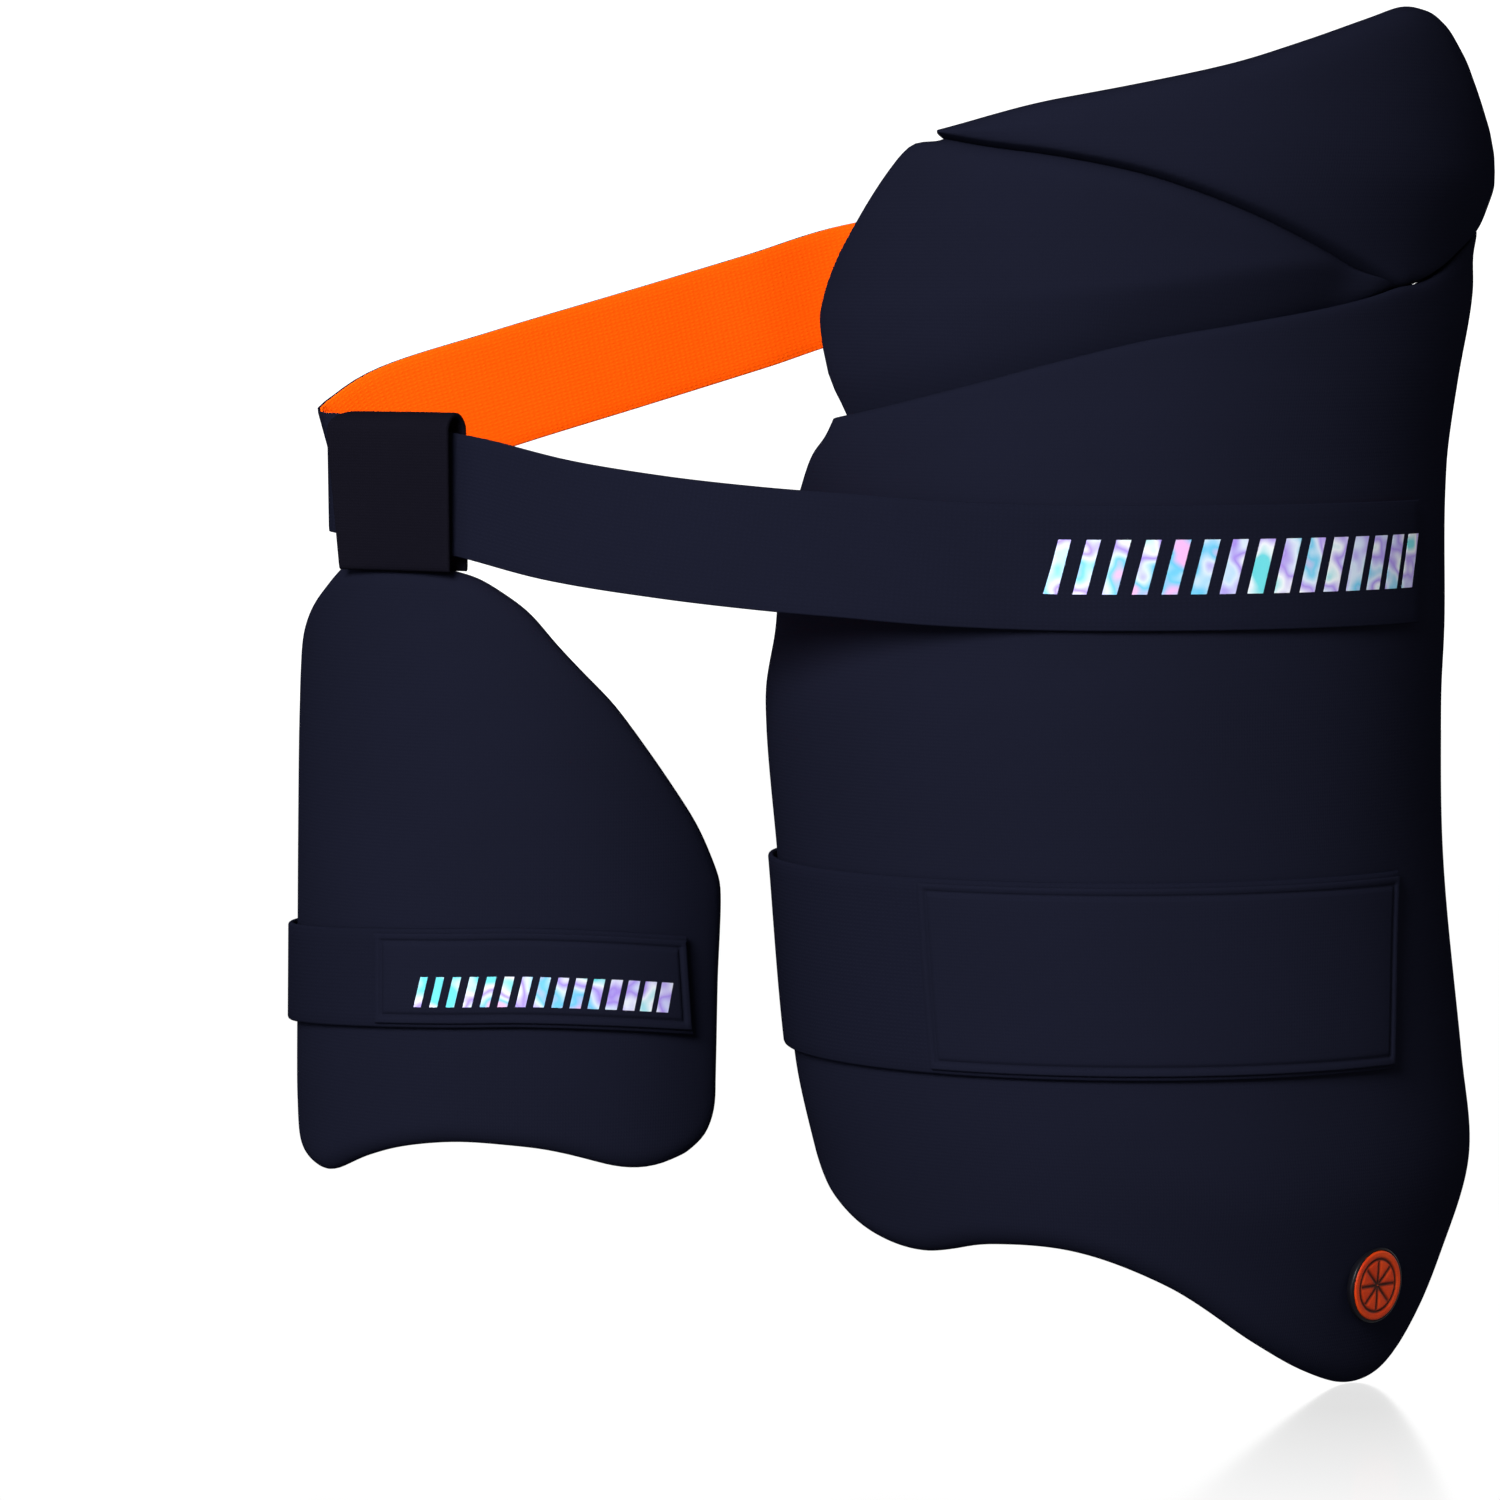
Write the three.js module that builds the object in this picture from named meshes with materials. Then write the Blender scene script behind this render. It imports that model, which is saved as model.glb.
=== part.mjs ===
// Cricket thigh guard: a large padded guard for the front and outside of one thigh, and a small one
// for the inside of the other, both hung on one waist belt and each with its own thigh strap.
// Millimetres, +X to the viewer's right, +Y away from the viewer, +Z up.
// The origin is the centre of the waist, where the wearer's body holds the set up.
import * as THREE from 'three';
import { mergeVertices } from 'three/addons/utils/BufferGeometryUtils.js';

// Large guard: a shell wrapped round an upright leg axis
const largeAxisX = 93.5;       // leg axis, right of the waist's centre
const largeFaceRadius = 106.5; // outer face at the middle of the thigh
const largeDrop = 288;         // waist's centre down to the lowest tip
const hipRise = 139;           // waist's centre up to the highest point
const crotchWrap = 97;         // degrees from the front to the edge beside the other leg
const hipWrap = 104;           // degrees from the front to the edge behind the hip
const thighThickness = 14;
const waistThickness = 13;
const hipThickness = 14;

// Small guard: a shell of its own leg, hung from the belt by a loop
const smallFaceRadius = 82;
const smallDrop = 194.1;        // top of its neck down to its lowest corner
const smallOuterWrap = 97;     // degrees from the front to the edge that the strap goes over
const smallInnerWrap = 46;     // degrees from the front to the edge beside the large guard
const smallThickness = 12;
const neckTurn = 37.5;         // degrees from the front to the middle of the neck

// How the foam is rounded off
const edgeRound = 6.5;         // free edges
const valleyRound = 9;         // soft valley between the thigh and waist panels
const lapRound = 3.5;          // tight fold under the hip flap
const crown = 2.4;             // how much thicker a panel is in its middle than beside its edges
const crownReach = 34;         // from the edge to the full thickness
const foldGap = 0.5;           // between neighbouring panels
const valleyShare = 0.4;       // share of the thickness left where two panels meet in the soft valley
const lapShare = 0.55;         // and where the hip flap laps over the others

// Waist belt: navy webbing outside, an orange lining inside
const beltWidth = 38;
const beltDrop = 31.5;         // waist's centre down to the belt's middle on the large guard
const beltLayer = 1;           // thickness of the webbing, and of the lining
const layerGap = 0.3;
const beltReach = 153.0;       // waist's centre out to the belt's bend in the loop
const beltDepth = 138;         // waist's centre back to the belt behind the hips
const beltRise = 62;           // waist's centre up to the belt's middle at the back
const beltContactTurn = 12;    // degrees: where the belt meets the large guard
const beltEndTurn = 59;       // degrees: its fastened end on the front
const beltTailLength = 38;     // sewn to the inside of the large guard's hip edge

// Thigh straps, each sewn inside one edge, round the back and fastened on the front
const largeStrapWidth = 60.5;
const largeStrapDrop = 157;    // waist's centre down to the strap's middle
const largeStrapEndTurn = 50;
const largeStrapSlant = 3.3;   // degrees: how far its cut end turns between middle and edge
const smallStrapWidth = 31.5;
const smallStrapDrop = 127.4;  // top of the neck down to the strap's middle
const smallStrapEndTurn = 35.2;
const strapThickness = 2;
const strapTailTurn = 22;      // degrees of strap sewn under the edge
const tabThickness = 1.2;
const tabMargin = 1.5;         // strap left bare above, below and beyond each tab
const largeTabTurn = 84.5;     // degrees that the large strap's tab covers
const smallTabTurn = 72.5;      // degrees that the small strap's tab covers
const seatGap = 0.4;           // between a strap or belt and what it lies on

// Loop on the small guard's neck, which the belt runs through
const loopTopWidth = 49;
const loopFootWidth = 44;
const loopFootShift = 3;       // its foot sits that much nearer the large guard than its top
const loopBackSetIn = 14;      // back wall shorter than the front one beside the belt's bend
const loopBackReach = -1.5;    // and reaches that much beyond the front one at the other end
const loopRise = 50;           // top of the neck up to the top of the loop
const loopWall = 1.8;
const loopSlack = 3.3;         // between the belt and each wall
const loopLift = -0.4;          // more room above the belt, which slants through the loop
const loopBendShare = 0.45;    // belt's bend to the loop's middle, as a share of its top width
const loopGripShare = 0.42;    // middle to where the belt's direction is taken, as a share of its foot
const loopFootDrop = 0.8;      // the loop's foot reaches that far below the top of the neck

// Round badge near the large guard's lowest tip
const badgeRadius = 11.8;
const badgeThickness = 1.6;
const badgeRim = 1.5;
const badgeTurn = 43.7;        // degrees
const badgeDrop = 255;         // waist's centre down to its middle
const emblemThickness = 1.2;
const emblemGap = 0.3;

const navy = new THREE.MeshStandardMaterial({ color: 0x1d1f2e, roughness: 0.85, metalness: 0 });
const darkNavy = new THREE.MeshStandardMaterial({ color: 0x171621, roughness: 0.9, metalness: 0 });
const orange = new THREE.MeshStandardMaterial({ color: 0xff620c, roughness: 0.8, metalness: 0 });
const blackRubber = new THREE.MeshStandardMaterial({ color: 0x0d0d12, roughness: 0.5, metalness: 0 });
const orangeRubber = new THREE.MeshStandardMaterial({ color: 0xd9480a, roughness: 0.45, metalness: 0 });

// Tables. A height is a share of the rise above the waist's centre, or of the drop below it where it
// is negative. A turn is a share of the wrap on its side. Other lengths are shares of the face radius.

// Level sections of the large guard: where its centre lies and how wide it is
const largeSections = [
  { height: -1.000, across: 0.089, depth: 0.047, flare: 0.873 },
  { height: -0.878, across: 0.099, depth: 0.028, flare: 0.930 },
  { height: -0.771, across: 0.106, depth: 0.009, flare: 0.988 },
  { height: -0.660, across: 0.061, depth: 0.000, flare: 1.000 },
  { height: -0.441, across: 0.005, depth: -0.009, flare: 0.995 },
  { height: -0.267, across: -0.018, depth: -0.005, flare: 1.009 },
  { height: -0.184, across: 0.000, depth: 0.000, flare: 1.000 },
  { height: -0.035, across: 0.000, depth: 0.000, flare: 1.000 },
  { height: 0.180, across: 0.033, depth: 0.009, flare: 1.005 },
  { height: 0.374, across: 0.066, depth: 0.023, flare: 1.019 },
  { height: 0.468, across: 0.070, depth: 0.028, flare: 1.023 },
  { height: 0.647, across: 0.105, depth: 0.047, flare: 1.058 },
  { height: 1.010, across: 0.120, depth: 0.075, flare: 1.056 },
];
const smallSections = [
  { height: -1.0, across: -0.018, depth: 0, flare: 1 },
  { height: 0.0, across: 0.006, depth: 0, flare: 1 },
];

// Outlines of the large guard, each from left to right or from bottom to top
const thighFoot = [
  { turn: -0.820, height: -0.815 }, { turn: -0.664, height: -0.842 }, { turn: -0.496, height: -0.853 },
  { turn: -0.327, height: -0.837 }, { turn: -0.158, height: -0.840 }, { turn: 0.019, height: -0.876 },
  { turn: 0.203, height: -0.944 }, { turn: 0.330, height: -0.981 }, { turn: 0.452, height: -1.000 },
  { turn: 0.545, height: -0.990 }, { turn: 0.650, height: -0.940 }, { turn: 0.725, height: -0.890 },
  { turn: 0.792, height: -0.836 },
];
const thighCrotchEdge = [
  { turn: -0.820, height: -0.815 }, { turn: -0.930, height: -0.770 }, { turn: -0.985, height: -0.700 },
  { turn: -1.000, height: -0.560 }, { turn: -1.000, height: -0.340 }, { turn: -0.980, height: -0.215 },
  { turn: -0.885, height: -0.120 }, { turn: -0.762, height: -0.050 }, { turn: -0.690, height: 0.018 },
  { turn: -0.648, height: 0.062 }, { turn: -0.630, height: 0.100 },
];
const thighHipEdge = [
  { turn: 0.792, height: -0.836 }, { turn: 0.897, height: -0.758 }, { turn: 0.972, height: -0.670 },
  { turn: 1.000, height: -0.560 }, { turn: 1.000, height: -0.260 }, { turn: 1.000, height: 0.050 },
  { turn: 1.000, height: 0.330 }, { turn: 0.985, height: 0.455 }, { turn: 0.940, height: 0.535 },
];
const lowerFold = [
  { turn: -0.630, height: 0.100 }, { turn: -0.500, height: 0.125 }, { turn: -0.300, height: 0.180 },
  { turn: -0.142, height: 0.233 }, { turn: 0.004, height: 0.279 }, { turn: 0.146, height: 0.313 },
  { turn: 0.301, height: 0.348 }, { turn: 0.392, height: 0.372 }, { turn: 0.462, height: 0.394 },
  { turn: 0.520, height: 0.403 }, { turn: 0.590, height: 0.428 }, { turn: 0.690, height: 0.475 },
  { turn: 0.820, height: 0.519 }, { turn: 0.940, height: 0.535 },
];
const upperFold = [
  { turn: -0.403, height: 0.728 }, { turn: -0.310, height: 0.708 }, { turn: -0.173, height: 0.684 },
  { turn: -0.038, height: 0.648 }, { turn: 0.049, height: 0.612 }, { turn: 0.162, height: 0.556 },
  { turn: 0.289, height: 0.487 }, { turn: 0.380, height: 0.437 }, { turn: 0.462, height: 0.395 },
];
const waistCrotchEdge = [
  { turn: -0.630, height: 0.100 }, { turn: -0.668, height: 0.173 }, { turn: -0.704, height: 0.244 },
  { turn: -0.716, height: 0.306 }, { turn: -0.695, height: 0.386 }, { turn: -0.592, height: 0.530 },
  { turn: -0.503, height: 0.650 }, { turn: -0.455, height: 0.703 }, { turn: -0.403, height: 0.728 },
];
const hipTop = [
  { turn: -0.408, height: 0.741 }, { turn: -0.214, height: 0.783 }, { turn: -0.044, height: 0.823 },
  { turn: 0.109, height: 0.869 }, { turn: 0.220, height: 0.916 }, { turn: 0.352, height: 0.973 },
  { turn: 0.430, height: 1.000 }, { turn: 0.502, height: 0.983 }, { turn: 0.572, height: 0.914 },
  { turn: 0.655, height: 0.800 }, { turn: 0.745, height: 0.708 }, { turn: 0.850, height: 0.645 },
];
const hipBackEdge = [
  { turn: 0.895, height: 0.538 }, { turn: 0.905, height: 0.590 }, { turn: 0.850, height: 0.645 },
];
const foldMeeting = 0.462; // turn where the upper fold runs into the lower one
const waistTip = { under: 0.010, over: 0.014 }; // how far short of it the waist panel's point stops
const flapTurnsOff = 0.03;  // past it, the flap's foot follows the lower fold
const flapLeavesFold = 0.87; // and leaves it again at this turn
const rowMargin = 0.02;     // rows of a fold nearer than this to a cut are dropped

// Outlines of the small guard, with heights as shares of its own drop
const smallFoot = [
  { turn: -0.730, height: -0.999 }, { turn: -0.645, height: -1.000 }, { turn: -0.487, height: -0.966 },
  { turn: -0.380, height: -0.946 }, { turn: -0.272, height: -0.934 }, { turn: -0.187, height: -0.930 },
  { turn: -0.087, height: -0.933 }, { turn: 0.026, height: -0.940 }, { turn: 0.215, height: -0.954 },
  { turn: 0.383, height: -0.969 }, { turn: 0.517, height: -0.974 }, { turn: 0.641, height: -0.970 },
  { turn: 0.793, height: -0.955 },
];
const smallOuterEdge = [
  { turn: -0.730, height: -0.999 }, { turn: -0.860, height: -0.983 }, { turn: -0.950, height: -0.940 },
  { turn: -0.990, height: -0.870 }, { turn: -1.000, height: -0.760 }, { turn: -1.000, height: -0.420 },
  { turn: -0.960, height: -0.230 }, { turn: -0.880, height: -0.125 }, { turn: -0.760, height: -0.066 },
  { turn: -0.668, height: -0.033 }, { turn: -0.595, height: -0.004 },
];
const smallInnerEdge = [
  { turn: 0.793, height: -0.955 }, { turn: 0.911, height: -0.929 }, { turn: 0.975, height: -0.886 },
  { turn: 0.983, height: -0.830 }, { turn: 0.990, height: -0.681 }, { turn: 1.000, height: -0.512 },
  { turn: 0.962, height: -0.484 }, { turn: 0.850, height: -0.420 }, { turn: 0.691, height: -0.351 },
  { turn: 0.530, height: -0.284 }, { turn: 0.361, height: -0.216 }, { turn: 0.193, height: -0.162 },
  { turn: 0.067, height: -0.120 }, { turn: -0.036, height: -0.069 }, { turn: -0.105, height: -0.036 },
  { turn: -0.165, height: -0.014 }, { turn: -0.225, height: -0.003 },
];
const smallNeck = [
  { turn: -0.595, height: -0.004 }, { turn: -0.520, height: 0.000 }, { turn: -0.310, height: 0.000 },
  { turn: -0.225, height: -0.003 },
];

// Belt's front arm, from its bend in the loop (0) to where it meets the large guard (1)
const beltFrontArm = [
  { across: 0.000, depth: 0.000, rise: 0.000, lean: 0 },
  { across: 0.024, depth: 0.074, rise: 0.045, lean: 0 },
  { across: 0.099, depth: 0.190, rise: 0.145, lean: 0 },
  { across: 0.203, depth: 0.330, rise: 0.285, lean: 3 },
  { across: 0.326, depth: 0.474, rise: 0.505, lean: 9 },
  { across: 0.469, depth: 0.630, rise: 0.686, lean: 13 },
  { across: 0.611, depth: 0.765, rise: 0.808, lean: 11 },
  { across: 0.731, depth: 0.862, rise: 0.890, lean: 8 },
  { across: 0.845, depth: 0.938, rise: 0.956, lean: 4 },
];
// Its back arm: across from the bend (0) to the hip edge (1), depth and rise from the waist's centre
const beltBackArm = [
  { across: 0.005, depth: 0.047, rise: -0.085 },
  { across: 0.022, depth: 0.083, rise: -0.030 },
  { across: 0.053, depth: 0.138, rise: 0.090 },
  { across: 0.161, depth: 0.317, rise: 0.323 },
  { across: 0.283, depth: 0.520, rise: 0.523 },
  { across: 0.401, depth: 0.719, rise: 0.716 },
  { across: 0.500, depth: 0.884, rise: 0.880 },
  { across: 0.645, depth: 1.000, rise: 0.984 },
  { across: 0.793, depth: 0.942, rise: 0.855 },
  { across: 0.897, depth: 0.754, rise: 0.613 },
  { across: 0.959, depth: 0.522, rise: 0.320 },
  { across: 0.987, depth: 0.304, rise: 0.113 },
];
const beltBend = { depth: 0.0145, rise: -0.082 };
const beltTailRise = 0.048;

// Straps behind the leg: turn in degrees from the front, reach as a share of the face radius
const largeStrapBack = [
  { turn: -112, reach: 1.000 }, { turn: -130, reach: 0.955 }, { turn: -155, reach: 0.905 },
  { turn: -185, reach: 0.880 }, { turn: -215, reach: 0.865 }, { turn: -240, reach: 0.858 },
];
const smallStrapBack = [
  { turn: -112, reach: 1.005 }, { turn: -130, reach: 0.970 }, { turn: -155, reach: 0.905 },
  { turn: -180, reach: 0.880 }, { turn: -203, reach: 0.850 }, { turn: -222, reach: 0.740 },
  { turn: -242, reach: 0.605 }, { turn: -266, reach: 0.535 }, { turn: -288, reach: 0.575 },
  { turn: -303, reach: 0.690 },
];
// The small strap isn't level: its middle by turn in degrees, as a share of its width
const smallStrapSag = [
  { turn: -345, rise: -0.15 }, { turn: -270, rise: -0.19 }, { turn: -180, rise: -0.22 },
  { turn: -97, rise: -0.19 }, { turn: -41, rise: -0.06 }, { turn: -20, rise: -0.02 },
  { turn: -3, rise: 0 }, { turn: 16, rise: -0.04 }, { turn: 36, rise: -0.13 },
];

// Smooth value of one column of a table at x, by cubic pieces with slopes from the rows beside
function columnAt(rows, key, column, x) {
  const last = rows.length - 1;
  const at = Math.min(Math.max(x, rows[0][key]), rows[last][key]);
  let i = 0;
  while (i < last - 1 && rows[i + 1][key] < at) i += 1;
  const slope = (a, b) => (rows[b][column] - rows[a][column]) / (rows[b][key] - rows[a][key]);
  const span = rows[i + 1][key] - rows[i][key];
  const t = (at - rows[i][key]) / span;
  const startSlope = slope(Math.max(i - 1, 0), i + 1) * span;
  const endSlope = slope(i, Math.min(i + 2, last)) * span;
  const start = rows[i][column];
  const end = rows[i + 1][column];
  return start * (1 + 2 * t) * (1 - t) ** 2 + end * t * t * (3 - 2 * t)
    + startSlope * t * (1 - t) ** 2 - endSlope * t * t * (1 - t);
}

// A leg's surface: turn in degrees from the front, z, and how far outside the face
function legSurface({ axisX, axisY, top, rise, drop, faceRadius, sections, wrapLeft, wrapRight }) {
  const share = (z) => (z > top ? (z - top) / rise : (z - top) / drop);
  const section = (z, column) => columnAt(sections, 'height', column, share(z));
  return {
    faceRadius,
    mmPerDegree: THREE.MathUtils.degToRad(faceRadius),
    height: (h) => top + (h > 0 ? h * rise : h * drop),
    turn: (t) => (t > 0 ? t * wrapRight : t * wrapLeft),
    point(turn, z, outside) {
      const angle = THREE.MathUtils.degToRad(turn);
      const radius = faceRadius * section(z, 'flare') + outside;
      const x = axisX + faceRadius * section(z, 'across') + radius * Math.sin(angle);
      const y = axisY + faceRadius * section(z, 'depth') - radius * Math.cos(angle);
      return new THREE.Vector3(x, y, z);
    },
  };
}

// Closed solid between two grids of points, outer[column][row] and inner[column][row]. Points that
// coincide along the border are joined, and the walls between them vanish there.
function shell(outer, inner) {
  const columns = outer.length - 1;
  const rows = outer[0].length - 1;
  const triangles = [];
  const quad = (a, b, c, d, otherWay) => {
    if (otherWay) triangles.push(a, b, d, b, c, d);
    else triangles.push(a, b, c, a, c, d);
  };
  for (let i = 0; i < columns; i += 1) {
    for (let j = 0; j < rows; j += 1) {
      // the diagonal runs into the corner, so that no triangle has its three points on the border
      const otherWay = (i > columns / 2) !== (j > rows / 2);
      quad(outer[i][j], outer[i + 1][j], outer[i + 1][j + 1], outer[i][j + 1], otherWay);
      quad(inner[i][j], inner[i][j + 1], inner[i + 1][j + 1], inner[i + 1][j], otherWay);
    }
  }
  for (let i = 0; i < columns; i += 1) {
    quad(inner[i][0], inner[i + 1][0], outer[i + 1][0], outer[i][0], false);
    quad(outer[i][rows], outer[i + 1][rows], inner[i + 1][rows], inner[i][rows], false);
  }
  for (let j = 0; j < rows; j += 1) {
    quad(outer[0][j], outer[0][j + 1], inner[0][j + 1], inner[0][j], false);
    quad(inner[columns][j], inner[columns][j + 1], outer[columns][j + 1], outer[columns][j], false);
  }
  const whole = [];
  for (let i = 0; i < triangles.length; i += 3) {
    const [a, b, c] = triangles.slice(i, i + 3);
    if (a.distanceTo(b) > 1e-4 && b.distanceTo(c) > 1e-4 && c.distanceTo(a) > 1e-4) whole.push(a, b, c);
  }
  const geometry = new THREE.BufferGeometry().setFromPoints(whole);
  return mergeVertices(geometry, 1e-4);
}

function sceneMesh(name, geometry, material) {
  geometry.computeVertexNormals();
  const mesh = new THREE.Mesh(geometry, material);
  mesh.name = name;
  return mesh;
}

// Smooth edge through the rows of an outline, flat, in millimetres along the leg and up
function edgeCurve(leg, rows, lift = 0) {
  const points = rows.map(({ turn, height }) => new THREE.Vector3(
    leg.turn(turn) * leg.mmPerDegree, leg.height(height) + lift, 0));
  return new THREE.CatmullRomCurve3(points, false, 'centripetal');
}

// Distance from a point to a sampled edge
function distanceToEdge(point, samples) {
  const nearest = new THREE.Vector3();
  const side = new THREE.Line3();
  let least = Infinity;
  for (let i = 0; i < samples.length - 1; i += 1) {
    side.set(samples[i], samples[i + 1]).closestPointToPoint(point, true, nearest);
    least = Math.min(least, nearest.distanceTo(point));
  }
  return least;
}

// Where the grid lines of a panel lie across it: close together where its two edges are rounded off
function gridLines(length, roundStart, roundEnd, middle) {
  const start = [0, 0.12, 0.45, 1].map((share) => (share * roundStart) / length);
  const end = [1, 0.45, 0.12, 0].map((share) => 1 - (share * roundEnd) / length);
  const between = [];
  for (let i = 1; i < middle; i += 1) {
    between.push(THREE.MathUtils.lerp(start[start.length - 1], end[0], i / middle));
  }
  return [...start, ...between, ...end];
}

// Foam panel: a Coons patch between four edges, thick in its middle and rounded off at each edge, down
// to nothing or to the share of its thickness left there
function foamPanel({ leg, edges, rounds, left, thickness, columns, rows }) {
  const at = (side, t) => edges[side].getPointAt(t);
  const width = (edges.bottom.getLength() + edges.top.getLength()) / 2;
  const height = (edges.left.getLength() + edges.right.getLength()) / 2;
  const across = gridLines(width, rounds.left, rounds.right, columns);
  const up = gridLines(height, rounds.bottom, rounds.top, rows);
  const sides = Object.keys(edges);
  const sampled = Object.fromEntries(sides.map((side) => [side, edges[side].getSpacedPoints(90)]));
  const corner = { sw: at('bottom', 0), se: at('bottom', 1), nw: at('top', 0), ne: at('top', 1) };
  const patch = (u, v) => new THREE.Vector3()
    .addScaledVector(at('bottom', u), 1 - v).addScaledVector(at('top', u), v)
    .addScaledVector(at('left', v), 1 - u).addScaledVector(at('right', v), u)
    .addScaledVector(corner.sw, -(1 - u) * (1 - v)).addScaledVector(corner.se, -u * (1 - v))
    .addScaledVector(corner.nw, -(1 - u) * v).addScaledVector(corner.ne, -u * v);
  const halfThickness = (point) => {
    let fullness = 1;
    let distance = crownReach;
    for (const side of sides) {
      const away = distanceToEdge(point, sampled[side]);
      const share = Math.min(away / rounds[side], 1);
      const least = left?.[side] ?? 0;
      fullness = Math.min(fullness, least + (1 - least) * Math.sqrt(1 - (1 - share) ** 2));
      distance = Math.min(distance, away);
    }
    const swell = THREE.MathUtils.smoothstep(distance, 0, crownReach);
    return ((thickness - crown) * fullness + crown * swell) / 2;
  };
  const face = (sign) => across.map((u, i) => up.map((v, j) => {
    const flat = patch(u, v);
    const half = halfThickness(flat);
    return leg.point(flat.x / leg.mmPerDegree, flat.y, sign * half - thickness / 2);
  }));
  return shell(face(1), face(-1));
}

// Ribbon: a thin closed strip through stations, each a row of points up its width with one outward
// direction, lying outside that line by from..to
function ribbon(stations, from, to) {
  const layer = (offset) => stations.map(({ points, outward }) => points.map(
    (point) => point.clone().addScaledVector(outward, offset)));
  return shell(layer(to).reverse(), layer(from).reverse());
}

// Station of a strap on or behind a leg, at one turn for its bottom and one for its top
function strapStation(leg, turns, middle, width, outside) {
  const points = [0, 0.5, 1].map((share) => leg.point(
    THREE.MathUtils.lerp(turns.bottom, turns.top, share), middle + (share - 0.5) * width, outside));
  const angle = THREE.MathUtils.degToRad((turns.bottom + turns.top) / 2);
  return { points, outward: new THREE.Vector3(Math.sin(angle), -Math.cos(angle), 0) };
}

const largeLeg = legSurface({
  axisX: largeAxisX, axisY: 0, top: 0, rise: hipRise, drop: largeDrop, faceRadius: largeFaceRadius,
  sections: largeSections, wrapLeft: crotchWrap, wrapRight: hipWrap,
});

// Route of the belt's middle line: on the front of the large guard, out to the bend, round the back
// of the waist and inside the hip edge
function beltRoute() {
  const stack = seatGap + beltLayer + layerGap / 2; // guard's face to the middle of the two layers
  const onGuard = (turn, rise, outside) => ({
    place: largeLeg.point(turn, rise, outside),
    lean: 0,
    points: [-0.5, 0, 0.5].map((share) => largeLeg.point(turn, rise + share * beltWidth, outside)),
  });
  const route = [];
  const step = 5;
  const steps = Math.ceil((beltEndTurn + beltContactTurn) / step);
  for (let i = 0; i <= steps; i += 1) {
    const turn = THREE.MathUtils.lerp(beltEndTurn, -beltContactTurn, i / steps);
    route.push(onGuard(turn, -beltDrop, stack));
  }
  const frontLength = route.length;
  const contact = route[frontLength - 1].place;
  const bend = new THREE.Vector3(-beltReach, beltBend.depth * beltDepth, beltBend.rise * beltRise);
  const tailRise = beltTailRise * beltRise;
  const inside = -thighThickness - stack;
  const hipContact = largeLeg.point(hipWrap, tailRise, inside).x;
  const free = [route[frontLength - 2], route[frontLength - 1]];
  for (const { across, depth, rise, lean } of [...beltFrontArm].reverse()) {
    free.push({
      place: new THREE.Vector3(
        THREE.MathUtils.lerp(bend.x, contact.x, across),
        THREE.MathUtils.lerp(bend.y, contact.y, depth),
        THREE.MathUtils.lerp(bend.z, contact.z, rise)),
      lean,
    });
  }
  for (const { across, depth, rise } of beltBackArm) {
    const x = THREE.MathUtils.lerp(-beltReach, hipContact, across);
    free.push({ place: new THREE.Vector3(x, depth * beltDepth, rise * beltRise), lean: 0 });
  }
  const tail = [];
  const tailTurn = beltTailLength / largeLeg.mmPerDegree;
  const tailSteps = Math.ceil(tailTurn / step);
  for (let i = 0; i <= tailSteps; i += 1) {
    tail.push(onGuard(hipWrap - (tailTurn * i) / tailSteps, tailRise, inside));
  }
  free.push(tail[0], tail[1]);
  // free stretch: stations close together where it bends, far apart where it runs straight
  const curve = new THREE.CatmullRomCurve3(free.map(({ place }) => place), false, 'centripetal');
  const spans = free.length - 1;
  const samples = spans * 24;
  const maxTurn = THREE.MathUtils.degToRad(8);
  const maxLength = 16;
  let lastPlace = contact;
  let lastHeading = curve.getTangent(1 / spans);
  for (let i = 24; i <= samples - 24; i += 1) {
    const t = i / samples;
    const place = curve.getPoint(t);
    const heading = curve.getTangent(t);
    if (heading.angleTo(lastHeading) > maxTurn || place.distanceTo(lastPlace) > maxLength) {
      const row = Math.min(Math.floor(t * spans), spans - 1);
      const lean = THREE.MathUtils.lerp(free[row].lean, free[row + 1].lean, t * spans - row);
      if (place.distanceTo(tail[0].place) > maxLength / 4) route.push({ place, lean });
      lastPlace = place;
      lastHeading = heading;
    }
  }
  return { route: [...route, ...tail], bend, frontLength };
}

// Belt stations: on the guard the width follows its face, elsewhere it stands square to the route,
// leaning out at the top by its lean
function beltStations(route) {
  const up = new THREE.Vector3(0, 0, 1);
  return route.map(({ place, lean, points: onFace }, i) => {
    const before = route[Math.max(i - 1, 0)].place;
    const after = route[Math.min(i + 1, route.length - 1)].place;
    const heading = after.clone().sub(before).normalize();
    const upright = up.clone().addScaledVector(heading, -up.dot(heading)).normalize();
    upright.applyAxisAngle(heading, THREE.MathUtils.degToRad(lean));
    const outward = upright.clone().cross(heading).normalize();
    const standing = [-0.5, 0, 0.5].map((share) => place.clone().addScaledVector(upright, share * beltWidth));
    return { points: onFace ?? standing, outward };
  });
}

const { route: beltMiddle, frontLength: beltFrontStations } = beltRoute();
const beltLine = beltStations(beltMiddle);

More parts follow.
